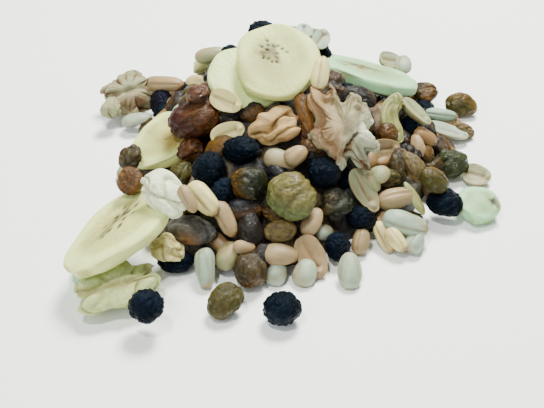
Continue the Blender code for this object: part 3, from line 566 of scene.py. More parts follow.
def kernel(polar, around, length, width, seed, notches):
    """An oval kernel with a groove along it, and notches that run in from its edge between lobes.

    The radius is 1 plus fine lumps, less a bell curve across the upper side for the groove, and less
    the notches times a power of the sine of the polar angle.
    """
    ball = lying_ball_of(polar, around)
    groove = 0.25 * np.exp(-((ball[:, 1] / 0.2) ** 2)) * np.clip(ball[:, 2], 0.0, None)
    cut = notched(around, notches) * np.sin(polar) ** 1.5
    swell = 1.0 + 0.06 * lumps(ball, seed, 5.0) - groove - cut
    thick = WALNUT_FLATNESS * (1.05 + 0.15 * np.sign(ball[:, 2]))
    sides = np.c_[np.full_like(polar, length), np.full_like(polar, width), width * thick]
    return ball * swell[:, None] * sides * 0.5


def walnut_half(polar, around, length, width, seed):
    """A kernel with notches at uneven steps round it."""
    random = np.random.default_rng(seed)
    step = 360.0 / WALNUT_LOBES
    start = random.uniform(0.0, 360.0)
    places = start + step * (np.arange(WALNUT_LOBES) + random.uniform(-0.25, 0.25, WALNUT_LOBES))
    notches = [(place, random.uniform(0.14, 0.32), 14.0) for place in places]
    return kernel(polar, around, length, width, seed, notches)


def open_walnut(polar, around, length, width, seed):
    """A kernel with long arms at both ends and a wide fan between them."""
    return kernel(polar, around, length, width, seed, OPEN_NOTCHES)


def curled_strip(polar, around, length, width, seed):
    """A thick strip that runs straight and then curls to one side, in the plane of the picture.

    Its middle line leaves the straight by the square of the way past the bend, and a rounded section,
    turned with the bend, is carried along it.
    """
    along = 0.5 * (1.0 - np.cos(polar))
    late = np.clip(along - 0.35, 0.0, None)
    bend = 2.2 * late ** 1.3
    middle_x = length * (along - 0.5) - 0.5 * length * late ** 2
    middle_y = 0.75 * length * late ** 2
    girth = np.sin(polar) ** 0.35
    side = 0.5 * width * girth * np.cos(around) * (1.0 - 0.35 * along)
    rise = 0.5 * CURL_THICKNESS * girth * np.sin(around)
    x = side * np.sin(bend) - middle_x
    y = side * np.cos(bend) + middle_y
    return np.c_[x, y, rise + 2.0 * along * along]


FORMS = {
    "half": half_peanut,
    "whole": whole_peanut,
    "slice": banana_slice,
    "walnut": walnut_half,
    "open_walnut": open_walnut,
    "curl": curled_strip,
}


def form(kind, polar, around, length, width, seed):
    """Points of a piece about its own middle, its length along x and its broad face up."""
    if kind in FORMS:
        return FORMS[kind](polar, around, length, width, seed)
    return pebble(polar, around, length, width, seed, *PEBBLES[kind])


def sampled(kind, length, width, seed, faces=SAMPLES):
    """Points spread over a piece, about its own middle."""
    rings, segments = faces
    return form(kind, *lattice(even_rings(rings), segments), length, width, seed)


def bed_foot(angle):
    """Radius of the foot at an angle, eased from each named radius to the next."""
    step = angle * len(BED_FOOT) / math.tau
    before = np.floor(step).astype(int)
    share = step - before
    eased = share * share * (3.0 - 2.0 * share)
    count = len(BED_FOOT)
    return BED_FOOT[before % count] * (1.0 - eased) + BED_FOOT[(before + 1) % count] * eased


def bed_height(x, y):
    """Height of the mound: it falls from the crest to the foot by a power of the distance."""
    across = x - BED_MIDDLE[0]
    back = y - BED_MIDDLE[1]
    share = np.hypot(across, back) / bed_foot(np.arctan2(back, across))
    return BED_HEIGHT * (1.0 - share ** BED_BLUNTNESS)


def bed_normal(x, y):
    """Upward direction square to the mound, by differences over 2 mm, level beyond its foot."""
    west, east, south, north = (
        max(float(bed_height(x + across, y + back)), 0.0)
        for across, back in ((-1.0, 0.0), (1.0, 0.0), (0.0, -1.0), (0.0, 1.0)))
    normal = np.array((west - east, south - north, 2.0))
    return normal / np.linalg.norm(normal)


def turned(turn, tip, roll):
    """Rotation that rolls about x, tips the x end nearer and turns in the picture."""
    c, s = np.cos(np.radians((turn, tip, roll))), np.sin(np.radians((turn, tip, roll)))
    turning = np.array(((c[0], -s[0], 0.0), (s[0], c[0], 0.0), (0.0, 0.0, 1.0)))
    tipping = np.array(((c[1], 0.0, -s[1]), (0.0, 1.0, 0.0), (s[1], 0.0, c[1])))
    rolling = np.array(((1.0, 0.0, 0.0), (0.0, c[2], -s[2]), (0.0, s[2], c[2])))
    return turning @ tipping @ rolling


def swing(start, end):
    """Smallest rotation that takes one unit direction to another."""
    cross = np.cross(start, end)
    skew = np.array(((0.0, -cross[2], cross[1]), (cross[2], 0.0, -cross[0]), (-cross[1], cross[0], 0.0)))
    return np.eye(3) + skew + skew @ skew / (1.0 + start @ end)


def sight_point(across, down, near):
    """Point on the line of sight of a pixel, a distance nearer to the eye than AIM."""
    shrink = (EYE_DISTANCE - near) / EYE_DISTANCE
    side = (across - PICTURE_MIDDLE[0]) / PIXELS_PER_MM * shrink
    rise = (PICTURE_MIDDLE[1] - down) / PIXELS_PER_MM * shrink
    return AIM + side * RIGHT + rise * UPWARD + near * TOWARD


def floor_nearness(down, lowest):
    """How near a piece must stay for its lowest point, below its middle, to clear the floor."""
    rise = (PICTURE_MIDDLE[1] - down) / PIXELS_PER_MM * UPWARD[2]
    return (FLOOR - lowest - rise) / (TOWARD[2] - rise / EYE_DISTANCE)


def sight_cells(points):
    """Cell of the sight map that each point falls in, and how near it is to the eye."""
    offset = points - AIM
    near = offset @ TOWARD
    grow = EYE_DISTANCE / (EYE_DISTANCE - near)
    return cells(offset @ RIGHT * grow, offset @ UPWARD * grow) + (near,)


def plan_cells(points):
    """Cell of the plan that each point falls in, and its height."""
    return cells(points[:, 0], points[:, 1]) + (points[:, 2],)


def cells(across, along):
    """Row and column of a map that is REACH wide each way."""
    row, column = (np.clip(((side + REACH) / CELL).astype(int), 0, CELLS - 1) for side in (along, across))
    return row, column


def blank_map(value):
    """A map with one value all over."""
    return np.full((CELLS, CELLS), value)


def back_stop():
    """Sight map of an upright bent wall behind the crest, where a piece seen above the heap rests."""
    offset = (np.arange(CELLS) + 0.5) * CELL - REACH
    share = offset[:, None] * UPWARD[1]
    wall = BACK_STOP[0] + BACK_STOP[1] * np.abs(offset[None, :])
    return (AIM[1] - wall + share) / (share / EYE_DISTANCE - TOWARD[1])


def push(surface, offset_cells, softness):
    """How far a piece must come up a map to clear it, leaving out its most pressed cells."""
    row, column, near = offset_cells
    under = np.full(surface.shape, np.inf)
    np.minimum.at(under, (row, column), near)
    used = np.isfinite(under)
    return float(np.percentile(surface[used] - under[used], 100.0 - softness))


def resting_push(surface, firm, placed, is_topping):
    """How far a piece must come up to rest on all, and to clear the toppings or press into them."""
    rise = push(surface, placed, SOFT_SHARE) - BITE
    if is_topping:
        return max(rise, push(firm, placed, 0.0) + CLEARANCE)
    return max(rise, push(firm, placed, FIRM_SHARE) - BITE)


class Heap:
    """What lies where, as seen from the eye and from above."""

    def __init__(self):
        self.sight = blank_map(-2.0 * REACH)
        self.firm_sight = blank_map(-2.0 * REACH)
        self.plan = blank_map(0.0)
        self.firm_plan = blank_map(-2.0 * REACH)
        self.firm_floor = blank_map(2.0 * REACH)
        self.stop = back_stop()
        self.pieces = []
        side = np.arange(-REACH, REACH, BED_STEP)
        x, y = np.meshgrid(side, side)
        z = bed_height(x, y)
        inside = z > 0.0
        self.cover(np.c_[x[inside], y[inside], z[inside]], False)
        self.bare = self.sight.copy()

    def cover(self, points, firm):
        """Adds the points of a surface to the maps."""
        row, column, near = sight_cells(points)
        np.maximum.at(self.sight, (row, column), near)
        low, side, height = plan_cells(points)
        np.maximum.at(self.plan, (low, side), height)
        if firm:
            np.maximum.at(self.firm_sight, (row, column), near)
            np.maximum.at(self.firm_plan, (low, side), height)
            np.minimum.at(self.firm_floor, (low, side), height)

    def hides(self, points, share):
        """Whether at most a share of a piece comes before others, and nearly none shows past the heap."""
        row, column, near = sight_cells(points)
        there = self.sight[row, column]
        seen = near > there - SEEN_MARGIN
        ahead = seen & (there > self.bare[row, column])
        outside = seen & (there < -REACH)
        return ahead.mean() <= share and outside.mean() <= PAST_SHOWN

    def keep(self, samples, *piece):
        """Notes a piece in its place and covers the maps with its points."""
        self.pieces.append(Piece(*piece))
        self.cover(samples, bool(self.pieces[-1].name))

    def slide_in(self, row, name="", lean=LEAN):
        """Slides a piece along its line of sight, away from the eye, until it rests."""
        kind, across, down, length, width, turn, tip, roll, look = row
        seed = int(across * 7 + down * 13)
        samples = sampled(kind, length, width, seed, TOPPING_SAMPLES if name else SAMPLES)
        facing = np.c_[RIGHT, UPWARD, TOWARD]
        resting = np.maximum(self.sight, self.stop)
        near = 0.0
        turning = facing @ turned(turn, tip, roll)
        for step in range(SETTLING_STEPS):
            centre = sight_point(across, down, near)
            if step:
                blend = lean * bed_normal(centre[0], centre[1]) + (1.0 - lean) * TOWARD
                turning = swing(TOWARD, blend / np.linalg.norm(blend)) @ facing @ turned(turn, tip, roll)
            points = samples @ turning.T
            placed = sight_cells(points + centre)
            rise = resting_push(resting, self.firm_sight, placed, name)
            near = max(near + rise, floor_nearness(down, points[:, 2].min()))
        centre = sight_point(across, down, near)
        self.keep(points + centre, name, kind, (length, width), seed, turning, centre, look, False)

    def drop_in(self, kind, x, y, length, width, heading, seed, look, name=""):
        """Drops a piece straight down onto the heap. A small piece is left out if it would be seen."""
        samples = sampled(kind, length, width, seed, TOPPING_SAMPLES if name else SAMPLES)
        turning = swing(UP, bed_normal(x, y)) @ turned(heading, 0.0, 0.0)
        points = samples @ turning.T
        placed = plan_cells(points + np.array((x, y, 0.0)))
        height = resting_push(self.plan, self.firm_plan, placed, name)
        centre = np.array((x, y, max(height, FLOOR - points[:, 2].min())))
        if name or self.hides(points + centre, BACK_SHOWN):
            self.keep(points + centre, name, kind, (length, width), seed, turning, centre, look, not name)
            return True
        return False

    def press_in(self, kind, x, y, length, width, heading, seed, look):
        """Presses a small piece into the mound, unless it would be seen or comes near a topping."""
        samples = sampled(kind, length, width, seed)
        upward = bed_normal(x, y)
        turning = swing(UP, upward) @ turned(heading, 0.0, 0.0)
        points = samples @ turning.T
        ground = np.array((x, y, max(float(bed_height(x, y)), 0.0)))
        for bite in FILL_BITES:
            centre = ground + upward * ((-points @ upward).max() - bite)
            centre[2] = max(centre[2], FLOOR - points[:, 2].min())
            low, side, height = plan_cells(points + centre)
            clear = np.all(height < self.firm_floor[low, side])
            if clear and self.hides(points + centre, FILL_SHOWN):
                self.keep(points + centre, "", kind, (length, width), seed, turning, centre, look, True)
                return


def drawn_piece(random, number, mix, scale):
    """Kind, length, width and heading of a piece drawn by chance."""
    kind = mix[number % len(mix)]
    length, width = np.array(SIZES[kind]) * random.uniform(*SIZE_SPREAD) * scale
    return kind, length, width, random.uniform(0.0, 360.0)


def drawn_look(looks, kind, number):
    """The look of a piece drawn by chance: the looks of its kind in turn."""
    return looks[kind][number % LOOK_CYCLE % len(looks[kind])]


def scatter_back(heap):
    """Small pieces over the far side, where the photograph's eye doesn't reach."""
    random = np.random.default_rng(BACK_SEED)
    count = 0
    for number in range(BACK_TRIES):
        angle = random.uniform(*BACK_ANGLES)
        share = math.sqrt(random.uniform(BACK_LEAST, 1.0))
        reach = (bed_foot(np.array(angle)) + BACK_SPILL) * share
        x = BED_MIDDLE[0] + reach * math.cos(angle)
        y = BED_MIDDLE[1] + reach * math.sin(angle)
        kind, length, width, heading = drawn_piece(random, number, BACK_MIX, 1.0)
        top = heap.plan[plan_cells(np.array(((x, y, 0.0),)))[:2]][0]
        if top < max(float(bed_height(x, y)), 0.0) + BACK_PILE and count < BACK_COUNT:
            look = drawn_look(DRAWN_LOOKS, kind, number)
            count += heap.drop_in(kind, x, y, length, width, heading, number, look)


def fill_gaps(heap):
    """Small pieces pressed into the mound wherever it is bare from above or from the eye."""
    random = np.random.default_rng(BACK_SEED + 1)
    side = np.arange(-REACH, REACH, FILL_SPACING)
    spots = np.array([(x, y) for x in side for y in side])
    spots = spots + random.uniform(-FILL_JITTER, FILL_JITTER, spots.shape)
    spots = spots[random.permutation(len(spots))]
    for number, (x, y) in enumerate(spots):
        ground = float(bed_height(x, y))
        kind, length, width, heading = drawn_piece(random, number, FILL_MIX, FILL_SCALE)
        if ground < FILL_LEAST:
            continue
        point = np.array(((x, y, ground),))
        bare_above = heap.plan[plan_cells(point)[:2]][0] < ground + BARE_MARGIN
        row, column, near = sight_cells(point)
        bare_ahead = heap.sight[row, column][0] < near[0] + BARE_MARGIN
        if bare_above or bare_ahead:
            look = drawn_look(FILL_LOOKS_IN_SHADE, kind, number)
            heap.press_in(kind, x, y, length, width, heading, number, look)


@functools.lru_cache(maxsize=1)
def laid_out():
    """Every piece in its place, the deepest first."""
    heap = Heap()
    for row in HOLLOWS + BACK_ROW:
        heap.slide_in(row)
    for name, lean, *row in LOW_TOPPINGS:
        heap.slide_in(row, name, lean)
    for row in MIDDLE_ROW + FRONT_ROW:
        heap.slide_in(row)
    for name, lean, *row in HIGH_TOPPINGS + EDGE_TOPPINGS:
        heap.slide_in(row, name, lean)
    for name, kind, x, y, length, width, heading, look in BACK_TOPPINGS:
        heap.drop_in(kind, x, y, length, width, heading, int(y), look, name)
    scatter_back(heap)
    fill_gaps(heap)
    return heap.pieces


def linear(hex_colour):
    """An sRGB hex colour as linear values from 0 to 1."""
    coded = np.array([int(hex_colour[at:at + 2], 16) for at in (1, 3, 5)]) / 255.0
    return tuple(np.where(coded <= 0.04045, coded / 12.92, ((coded + 0.055) / 1.055) ** 2.4))


def eased(value, low, high):
    """0 below low and 1 above high, with a smooth S between."""
    share = np.clip((value - low) / (high - low), 0.0, 1.0)
    return share * share * (3.0 - 2.0 * share)


def spot(value, width):
    """A bell curve: 1 where the value is 0, and gone beyond about two widths."""
    return np.exp(-((value / width) ** 2))


def blended(first, second, share):
    """Colours that go from first to second by a share at each point, held from 0 to 1."""
    return first + (np.asarray(second) - first) * np.clip(share, 0.0, 1.0)[:, None]


def creases(directions, seed, waves, width, count):
    """Valleys along the zero lines of a few wavy fields, each faded in and out by a slower field."""
    deepest = np.zeros(len(directions))
    for number in range(count):
        field = lumps(directions, seed + 101 * number + 17, waves * 1.25 ** number)
        reach = np.clip(0.6 + 0.9 * lumps(directions, seed + 57 * number + 5, 0.55 * waves), 0.0, 1.0)
        deepest = np.maximum(deepest, spot(field, width) * reach)
    return deepest


# The skins: how far each point rises along its normal, in mm, and its colour. A skin sinks by the sum
# of its valleys, each times a depth, and swells by slow lumps. The same fields give the shares by which
# its colour goes from the main tone to others; on peanuts, raisins, walnuts and kernels the darkening
# in the valleys is painted shade. Depths are shares of the width, and mm on a slice. The last three
# numbers of creases are its waves over the ball, how wide its valleys are, and how many fields cross.


def half_peanut_skin(polar, around, length, width, seed, main, tones):
    """A dished inner face with a groove along it and a germ near one end, and a plain domed back."""
    along = np.cos(polar)
    across = np.cos(around)
    face = eased(np.sin(around), 0.02, 0.3)
    inside = np.clip(1.0 - across ** 2, 0.0, 1.0) * np.clip(1.0 - along ** 2, 0.0, 1.0)
    groove = spot(across, 0.13) * eased(0.8 - np.abs(along + 0.12), 0.0, 0.3)
    germ = spot(along - 0.74, 0.13) * spot(across, 0.32)
    notch = spot(along - 0.5, 0.06) * spot(across, 0.4)
    dents = creases(ball_of(polar, around) * (0.4, 1.0, 1.0), seed, 3.2, 0.3, 2)
    relief = -0.1 * inside - 0.085 * groove + 0.1 * germ - 0.07 * notch
    rise = width * face * relief - 0.022 * width * dents
    patches = eased(lumps(ball_of(polar, around), seed + 3, 2.4), 0.1, 1.3)
    rim = spot(np.sin(around) - 0.08, 0.16) * eased(1.0 - np.abs(along), 0.0, 0.1)
    colours = blended(main, tones["peanut_skin"], (1.0 - face) * 0.15 + 0.35 * patches + 0.4 * rim)
    # Painted shade in the groove, the notch and the dents.
    dark = face * (0.5 * groove + 0.5 * notch) + 0.35 * dents
    colours = blended(colours, tones["peanut_brown"], dark)
    return rise, blended(colours, tones["peanut_brown"], 0.75 * eased(np.abs(along), 0.9, 1.0))


def whole_peanut_skin(polar, around, length, width, seed, main, tones):
    """A cleft down one side between the two halves, shallow dents and browned ends."""
    along = np.cos(polar)
    ball = ball_of(polar, around)
    turn = np.abs((around - math.pi * (0.3 + 0.4 * (seed % 5) / 4.0) + math.pi) % math.tau - math.pi)
    cleft = spot(turn, 0.1) * eased(1.0 - np.abs(along), 0.02, 0.3)
    dents = creases(ball * (0.45, 1.0, 1.0), seed, 2.6, 0.3, 2)
    rise = -0.07 * width * cleft - 0.03 * width * dents + 0.02 * width * lumps(ball, seed + 2, 3.0)
    patches = eased(lumps(ball, seed + 3, 2.2), 0.0, 1.3)
    colours = blended(main, tones["peanut_skin"], 0.5 * patches)
    ends = 0.8 * eased(along, 0.72, 0.98) + 0.3 * eased(-along, 0.9, 1.0)
    # Painted shade in the cleft and the dents; the browned ends are the peanut's own colour.
    return rise, blended(colours, tones["peanut_brown"], 0.6 * cleft + 0.3 * dents + ends)


def raisin_skin(polar, around, length, width, seed, main, tones):
    """Folds that run mostly along the raisin, with finer ones between, painted darker than the ridges as
    shade.

    Some raisins are plump, with shallow folds, and some are shrunk, with deep ones.
    """
    ball = ball_of(polar, around)
    long = ball * (0.6, 1.0, 1.0)
    shrunk = 0.45 + 0.55 * (seed % 7) / 6.0
    deep = creases(long, seed, 3.0, 0.32, 3) * shrunk
    fine = creases(long, seed + 40, 8.5, 0.5, 3)
    depth = bpy.context.scene.trail_mix_sizes.raisin_folds
    rise = -width * (depth * deep + 0.35 * depth * fine - 0.025 * lumps(ball, seed + 9, 4.0))
    # Painted glow: amber light through the thin skin, at random spots.
    glow = eased(lumps(ball, seed + 6, 1.8), -0.2, 1.4)
    colours = blended(main, tones["raisin_glow"], 0.3 * glow)
    # Painted shade in the folds, and painted light that brightens the ridges.
    return rise, colours * (1.15 - 0.6 * deep - 0.25 * fine)[:, None]


def berry_skin(polar, around, length, width, seed, main, tones):
    """Fine close wrinkles and a few broad dents, with a faint bloom on the ridges that is partly a painted
    sheen.
    """
    ball = ball_of(polar, around)
    wrinkles = creases(ball, seed, 7.0, 0.5, 3)
    fine = creases(ball, seed + 3, 14.0, 0.6, 2)
    dents = np.clip(lumps(ball, seed + 8, 2.6), 0.0, 1.0)
    depth = bpy.context.scene.trail_mix_sizes.berry_wrinkles
    rise = -width * (depth * wrinkles + 0.45 * depth * fine + 0.05 * dents)
    # Partly painted sheen: lighter on the ridges, none in the wrinkles.
    bloom = (1.0 - wrinkles) * eased(lumps(ball, seed + 11, 2.0), -0.6, 1.4)
    return rise, blended(main, tones["berry_bloom"], 0.6 * bloom)


def walnut_skin(polar, around, length, width, seed, main, tones):
    """Deep winding folds as on a brain, and finer ones that run out to the edge, brown at the bottom as
    painted shade.
    """
    out = np.sin(polar)
    ball = lying_ball_of(polar, around)
    spread = np.c_[np.cos(around), np.sin(around), 0.7 * np.cos(polar)]
    deep = creases(ball, seed, 4.2, 0.26, 2)
    running = creases(spread, seed + 30, 7.0, 0.36, 2) * eased(out, 0.25, 0.7)
    fine = creases(spread, seed + 60, 19.0, 0.6, 3) * eased(out, 0.2, 0.6)
    depth = bpy.context.scene.trail_mix_sizes.walnut_folds
    rise = -width * (depth * np.maximum(deep, 0.8 * running) + 0.16 * depth * fine)
    rubbed = eased(lumps(ball, seed + 5, 3.0), 0.0, 1.3)
    colours = blended(main, tones["walnut_pale"], 0.75 * rubbed)
    colours = blended(colours, tones["walnut_warm"], 0.5 * eased(lumps(ball, seed + 7, 2.4), 0.2, 1.2))
    # Painted shade: the folds are darkened towards brown by their depth.
    return rise, blended(colours, tones["walnut_brown"], 0.9 * deep + 0.6 * running + 0.45 * fine)


def kernel_bit_skin(polar, around, length, width, seed, main, tones):
    """A broken nut: a few deep rounded clefts between pale lobes."""
    ball = ball_of(polar, around)
    deep = creases(ball, seed, 2.8, 0.22, 3)
    fine = creases(ball, seed + 20, 9.0, 0.5, 2)
    rise = -width * (0.12 * deep + 0.02 * fine - 0.05 * lumps(ball, seed + 4, 5.0))
    rubbed = eased(lumps(ball, seed + 6, 2.6), 0.2, 1.4)
    colours = blended(main, tones["walnut_pale"], 0.4 * rubbed)
    # Painted shade in the deep clefts and the fine ones.
    return rise, blended(colours, tones["peanut_brown"], 0.5 * deep + 0.1 * fine)


def seamed_kernel_skin(polar, around, length, width, seed, main, tones):
    """Smooth plump lobes that meet in seams, each bent like an S across the kernel from end to end."""
    x, y, up = lying_ball_of(polar, around).T
    ball = ball_of(polar, around)
    seam = np.zeros(len(polar))
    for height, depth in SEAMS:
        seam = np.maximum(seam, depth * spot(y - height - 0.3 * np.sin(2.6 * x), 0.11))
    seam = seam * eased(up, -0.2, 0.2)
    rise = -width * (0.13 * seam - 0.03 * lumps(ball, seed + 4, 2.4))
    # Painted shade in the seams; the random browned patches are the kernel's own colour.
    browned = 0.7 * seam ** 2 + 0.25 * eased(lumps(ball, seed + 6, 2.6), 0.2, 1.4)
    return rise, blended(main, tones["peanut_brown"], browned)


def strip_skin(polar, around, length, width, seed, main, tones):
    """Fibres that run along a strip of fruit, with a few darker threads."""
    ball = ball_of(polar, around)
    fibres = creases(ball * (0.15, 1.0, 1.0), seed, 6.0, 0.45, 3)
    rise = -0.06 * width * fibres + 0.03 * width * lumps(ball, seed + 2, 7.0)
    return rise, blended(main, tones["banana_gold"], 0.6 * fibres + 0.2)


def banana_skin(polar, around, length, width, seed, main, tones, middle=(0.0, 0.0)):
    """A face sunk inside its rim, with a browned heart in three arms and dark seeds round it.

    The distance from the middle, 1 at the rim, is the sine of the polar angle to the power SLICE_EDGE.
    A slice cut slantwise has its heart drawn out along it: that is the stretch. The heart's middle
    may lie off the slice's, by shares of half its length and width.
    """
    random = np.random.default_rng(seed)
    reach = np.sin(polar) ** SLICE_EDGE
    stretch = (length / width) ** 0.8
    u = (reach * np.cos(around) - middle[0]) / stretch
    v = (reach * np.sin(around) - middle[1]) * stretch
    inner = np.hypot(u, v)
    bearing = np.arctan2(v, u)
    face = eased(np.abs(np.cos(polar)) ** SLICE_EDGE, 0.45, 0.85)
    start = random.uniform(0.0, math.tau)
    flesh = lumps(np.c_[u, v, np.cos(polar)], seed + 9, 9.0)
    arms = spot(np.sin(1.5 * (bearing + start)), 0.34) * spot(inner, 0.38)
    heart = np.clip(spot(inner, 0.24) + arms, 0.0, 1.0) * eased(flesh, -1.6, 0.3)
    seeds = np.zeros(len(polar))
    for number in range(SEEDS_IN_SLICE):
        angle = start + math.tau * number / SEEDS_IN_SLICE + random.uniform(-0.5, 0.5)
        out = u * math.cos(angle) + v * math.sin(angle) - random.uniform(0.1, 0.36)
        side = v * math.cos(angle) - u * math.sin(angle)
        seeds = np.maximum(seeds, spot(out, 0.045) * spot(side, 0.034) * random.uniform(0.3, 1.0))
    spokes = spot(np.sin(4.5 * bearing + 2.0 * flesh), 0.25) * spot(inner - 0.38, 0.2)
    ball = ball_of(polar, around)
    rays = np.sin(31.0 * around + 3.0 * lumps(ball, seed + 1, 3.0)) * eased(reach, 0.25, 0.5)
    rays = rays * eased(lumps(ball, seed + 4, 5.0), -0.2, 1.0) * eased(width, 12.0, 24.0)
    rise = face * (-0.5 * spot(reach - 0.5, 0.34) - 0.4 * seeds - 0.25 * heart + 0.08 * rays) + 0.18 * flesh
    rise = rise + 0.3 * (1.0 - face) * lumps(ball, seed + 2, 8.0)
    gold_face = 0.28 * stretch * eased(0.7 - reach, -0.1, 0.15) + 0.1 * eased(-rays, 0.0, 1.0)
    gold = face * gold_face + 0.4 * (1.0 - face) * eased(flesh, -0.5, 1.0)
    colours = blended(main, tones["banana_gold"], gold + 0.12 * eased(flesh, 0.0, 1.5))
    colours = blended(colours, tones["banana_heart"], face * np.maximum(heart, 0.35 * spokes))
    return rise, blended(colours, tones["banana_seed"], face * np.clip(1.5 * seeds, 0.0, 1.0))


def stained_and_glowing(colours, own, stains, tones):
    """Round patches of other tones: stains, and some painted glows. Each has a tone, a place and a radius
    in mm, and a share.
    """
    for tone, x, y, radius, share in stains:
        near = spot(np.hypot(own[:, 0] - x, own[:, 1] - y), radius)
        colours = blended(colours, tones[tone], share * near)
    return colours


# The skin of each kind, and of kernels whose lobes are smooth.
SKINS = {
    "half": half_peanut_skin,
    "whole": whole_peanut_skin,
    "raisin": raisin_skin,
    "berry": berry_skin,
    "walnut_bit": kernel_bit_skin,
    "shred": strip_skin,
    "slice": banana_skin,
    "walnut": walnut_skin,
    "open_walnut": walnut_skin,
    "curl": strip_skin,
}
SMOOTH_LOOKS = {"kernel_orange": seamed_kernel_skin, "kernel_cream": kernel_bit_skin}


def slice_rings():
    """Polar angles of a slice's rings: close together at its heart and round its rim."""
    reach = np.r_[np.linspace(*HEART_RINGS), np.linspace(*FLESH_RINGS)]
    face = np.arcsin(reach ** (1.0 / SLICE_EDGE))
    rim = np.linspace(face[-1], math.pi - face[-1], RIM_RINGS)[1:-1]
    return np.r_[face, rim, math.pi - face[::-1]]


def fine_lattice(kind, drawn):
    """Polar angles and angles round the pole of a fine closed surface, and its triangles."""
    rings, segments = (COARSE if drawn else FINE).get(kind, (0, SLICE_SEGMENTS))
    angles = slice_rings() if kind == "slice" else even_rings(rings)
    return (*lattice(angles, segments), lattice_triangles(len(angles), segments))


def lattice_triangles(rows, segments):
    """A fan at each pole and bands of split quads between, faces outward."""
    first = 1 + np.arange(rows - 1)[:, None] * segments
    here = np.arange(segments)
    there = (here + 1) % segments
    a, b, c, d = first + here, first + there, first + segments + there, first + segments + here
    bands = [np.stack(corners, -1).reshape(-1, 3) for corners in ((a, d, c), (a, c, b))]
    last = 1 + rows * segments
    start = np.c_[np.zeros_like(here), 1 + here, 1 + there]
    end = np.c_[np.full_like(here, last), last - segments + there, last - segments + here]
    return np.concatenate((start, *bands, end))


def point_normals(points, triangles):
    """Unit normals: at each point, the sum of the cross products of the triangles round it."""
    corners = points[triangles]
    cross = np.cross(corners[:, 1] - corners[:, 0], corners[:, 2] - corners[:, 0])
    sums = [np.bincount(triangles.ravel(), np.repeat(cross[:, axis], 3), len(points)) for axis in range(3)]
    total = np.stack(sums, -1)
    return total / np.maximum(np.linalg.norm(total, axis=1, keepdims=True), 1e-9)


def tones_now():
    """The named colours as the panel has them, in linear values."""
    settings = bpy.context.scene.trail_mix_colours
    return {name: np.array(getattr(settings, name)) for name in LOOKS}


def dressed(piece, tones):
    """Points, triangles, colours and own coordinates of one piece in its place.

    The surface is the piece's form, raised or sunk along its own normals by its skin. A piece drawn by
    chance lies a little further from the eye than its solid, so that it never shows through another.
    """
    name, kind, (length, width), seed, turning, centre, look, drawn = piece
    polar, around, triangles = fine_lattice(kind, drawn)
    own = form(kind, polar, around, length, width, seed)
    skin = SMOOTH_LOOKS.get(look, SKINS[kind])
    heart = (HEARTS.get(name, (0.0, 0.0)),) if kind == "slice" else ()
    rise, colours = skin(polar, around, length, width, seed, tones[look], tones, *heart)
    colours = stained_and_glowing(colours, own, STAINS_AND_GLOWS.get(name or look, ()), tones)
    own = own + point_normals(own, triangles) * rise[:, None] * FOLDS_KEPT.get(name, 1.0)
    placed = own @ turning.T + centre - drawn * DRAWN_SINK * TOWARD
    placed[:, 2] = np.maximum(placed[:, 2], FLOOR)
    offset = np.random.default_rng(seed).uniform(-PATTERN_SHIFT, PATTERN_SHIFT, 3)
    return placed, triangles, np.clip(colours, 0.0, 1.0), own + offset


def added(name, data):
    """A new object in the scene that shows a mesh, a light or a camera."""
    thing = bpy.data.objects.new(name, data)
    bpy.context.scene.collection.objects.link(thing)
    return thing


def mesh_piece(name, parts, material, nodes):
    """One mesh object of many dressed pieces, with their colours and own coordinates as attributes."""
    starts = np.cumsum([0] + [len(part[0]) for part in parts])
    triangles = np.concatenate([part[1] + start for part, start in zip(parts, starts)])
    points, colours, own = (np.concatenate([part[at] for part in parts]) for at in (0, 2, 3))
    mesh = bpy.data.meshes.new(name)
    mesh.vertices.add(len(points))
    mesh.vertices.foreach_set("co", (points * MM).ravel())
    mesh.loops.add(triangles.size)
    mesh.loops.foreach_set("vertex_index", triangles.ravel().astype(np.int32))
    mesh.polygons.add(len(triangles))
    mesh.polygons.foreach_set("loop_start", np.arange(0, triangles.size, 3, dtype=np.int32))
    mesh.update(calc_edges=True)
    tint = mesh.attributes.new("tint", "FLOAT_COLOR", "POINT")
    tint.data.foreach_set("color", np.c_[colours, np.ones(len(colours))].ravel())
    grain = mesh.attributes.new("own", "FLOAT_VECTOR", "POINT")
    grain.data.foreach_set("vector", own.ravel())
    mesh.shade_smooth()
    mesh.materials.append(material)
    piece = added(name, mesh)
    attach(piece, "root")
    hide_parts(*nodes)


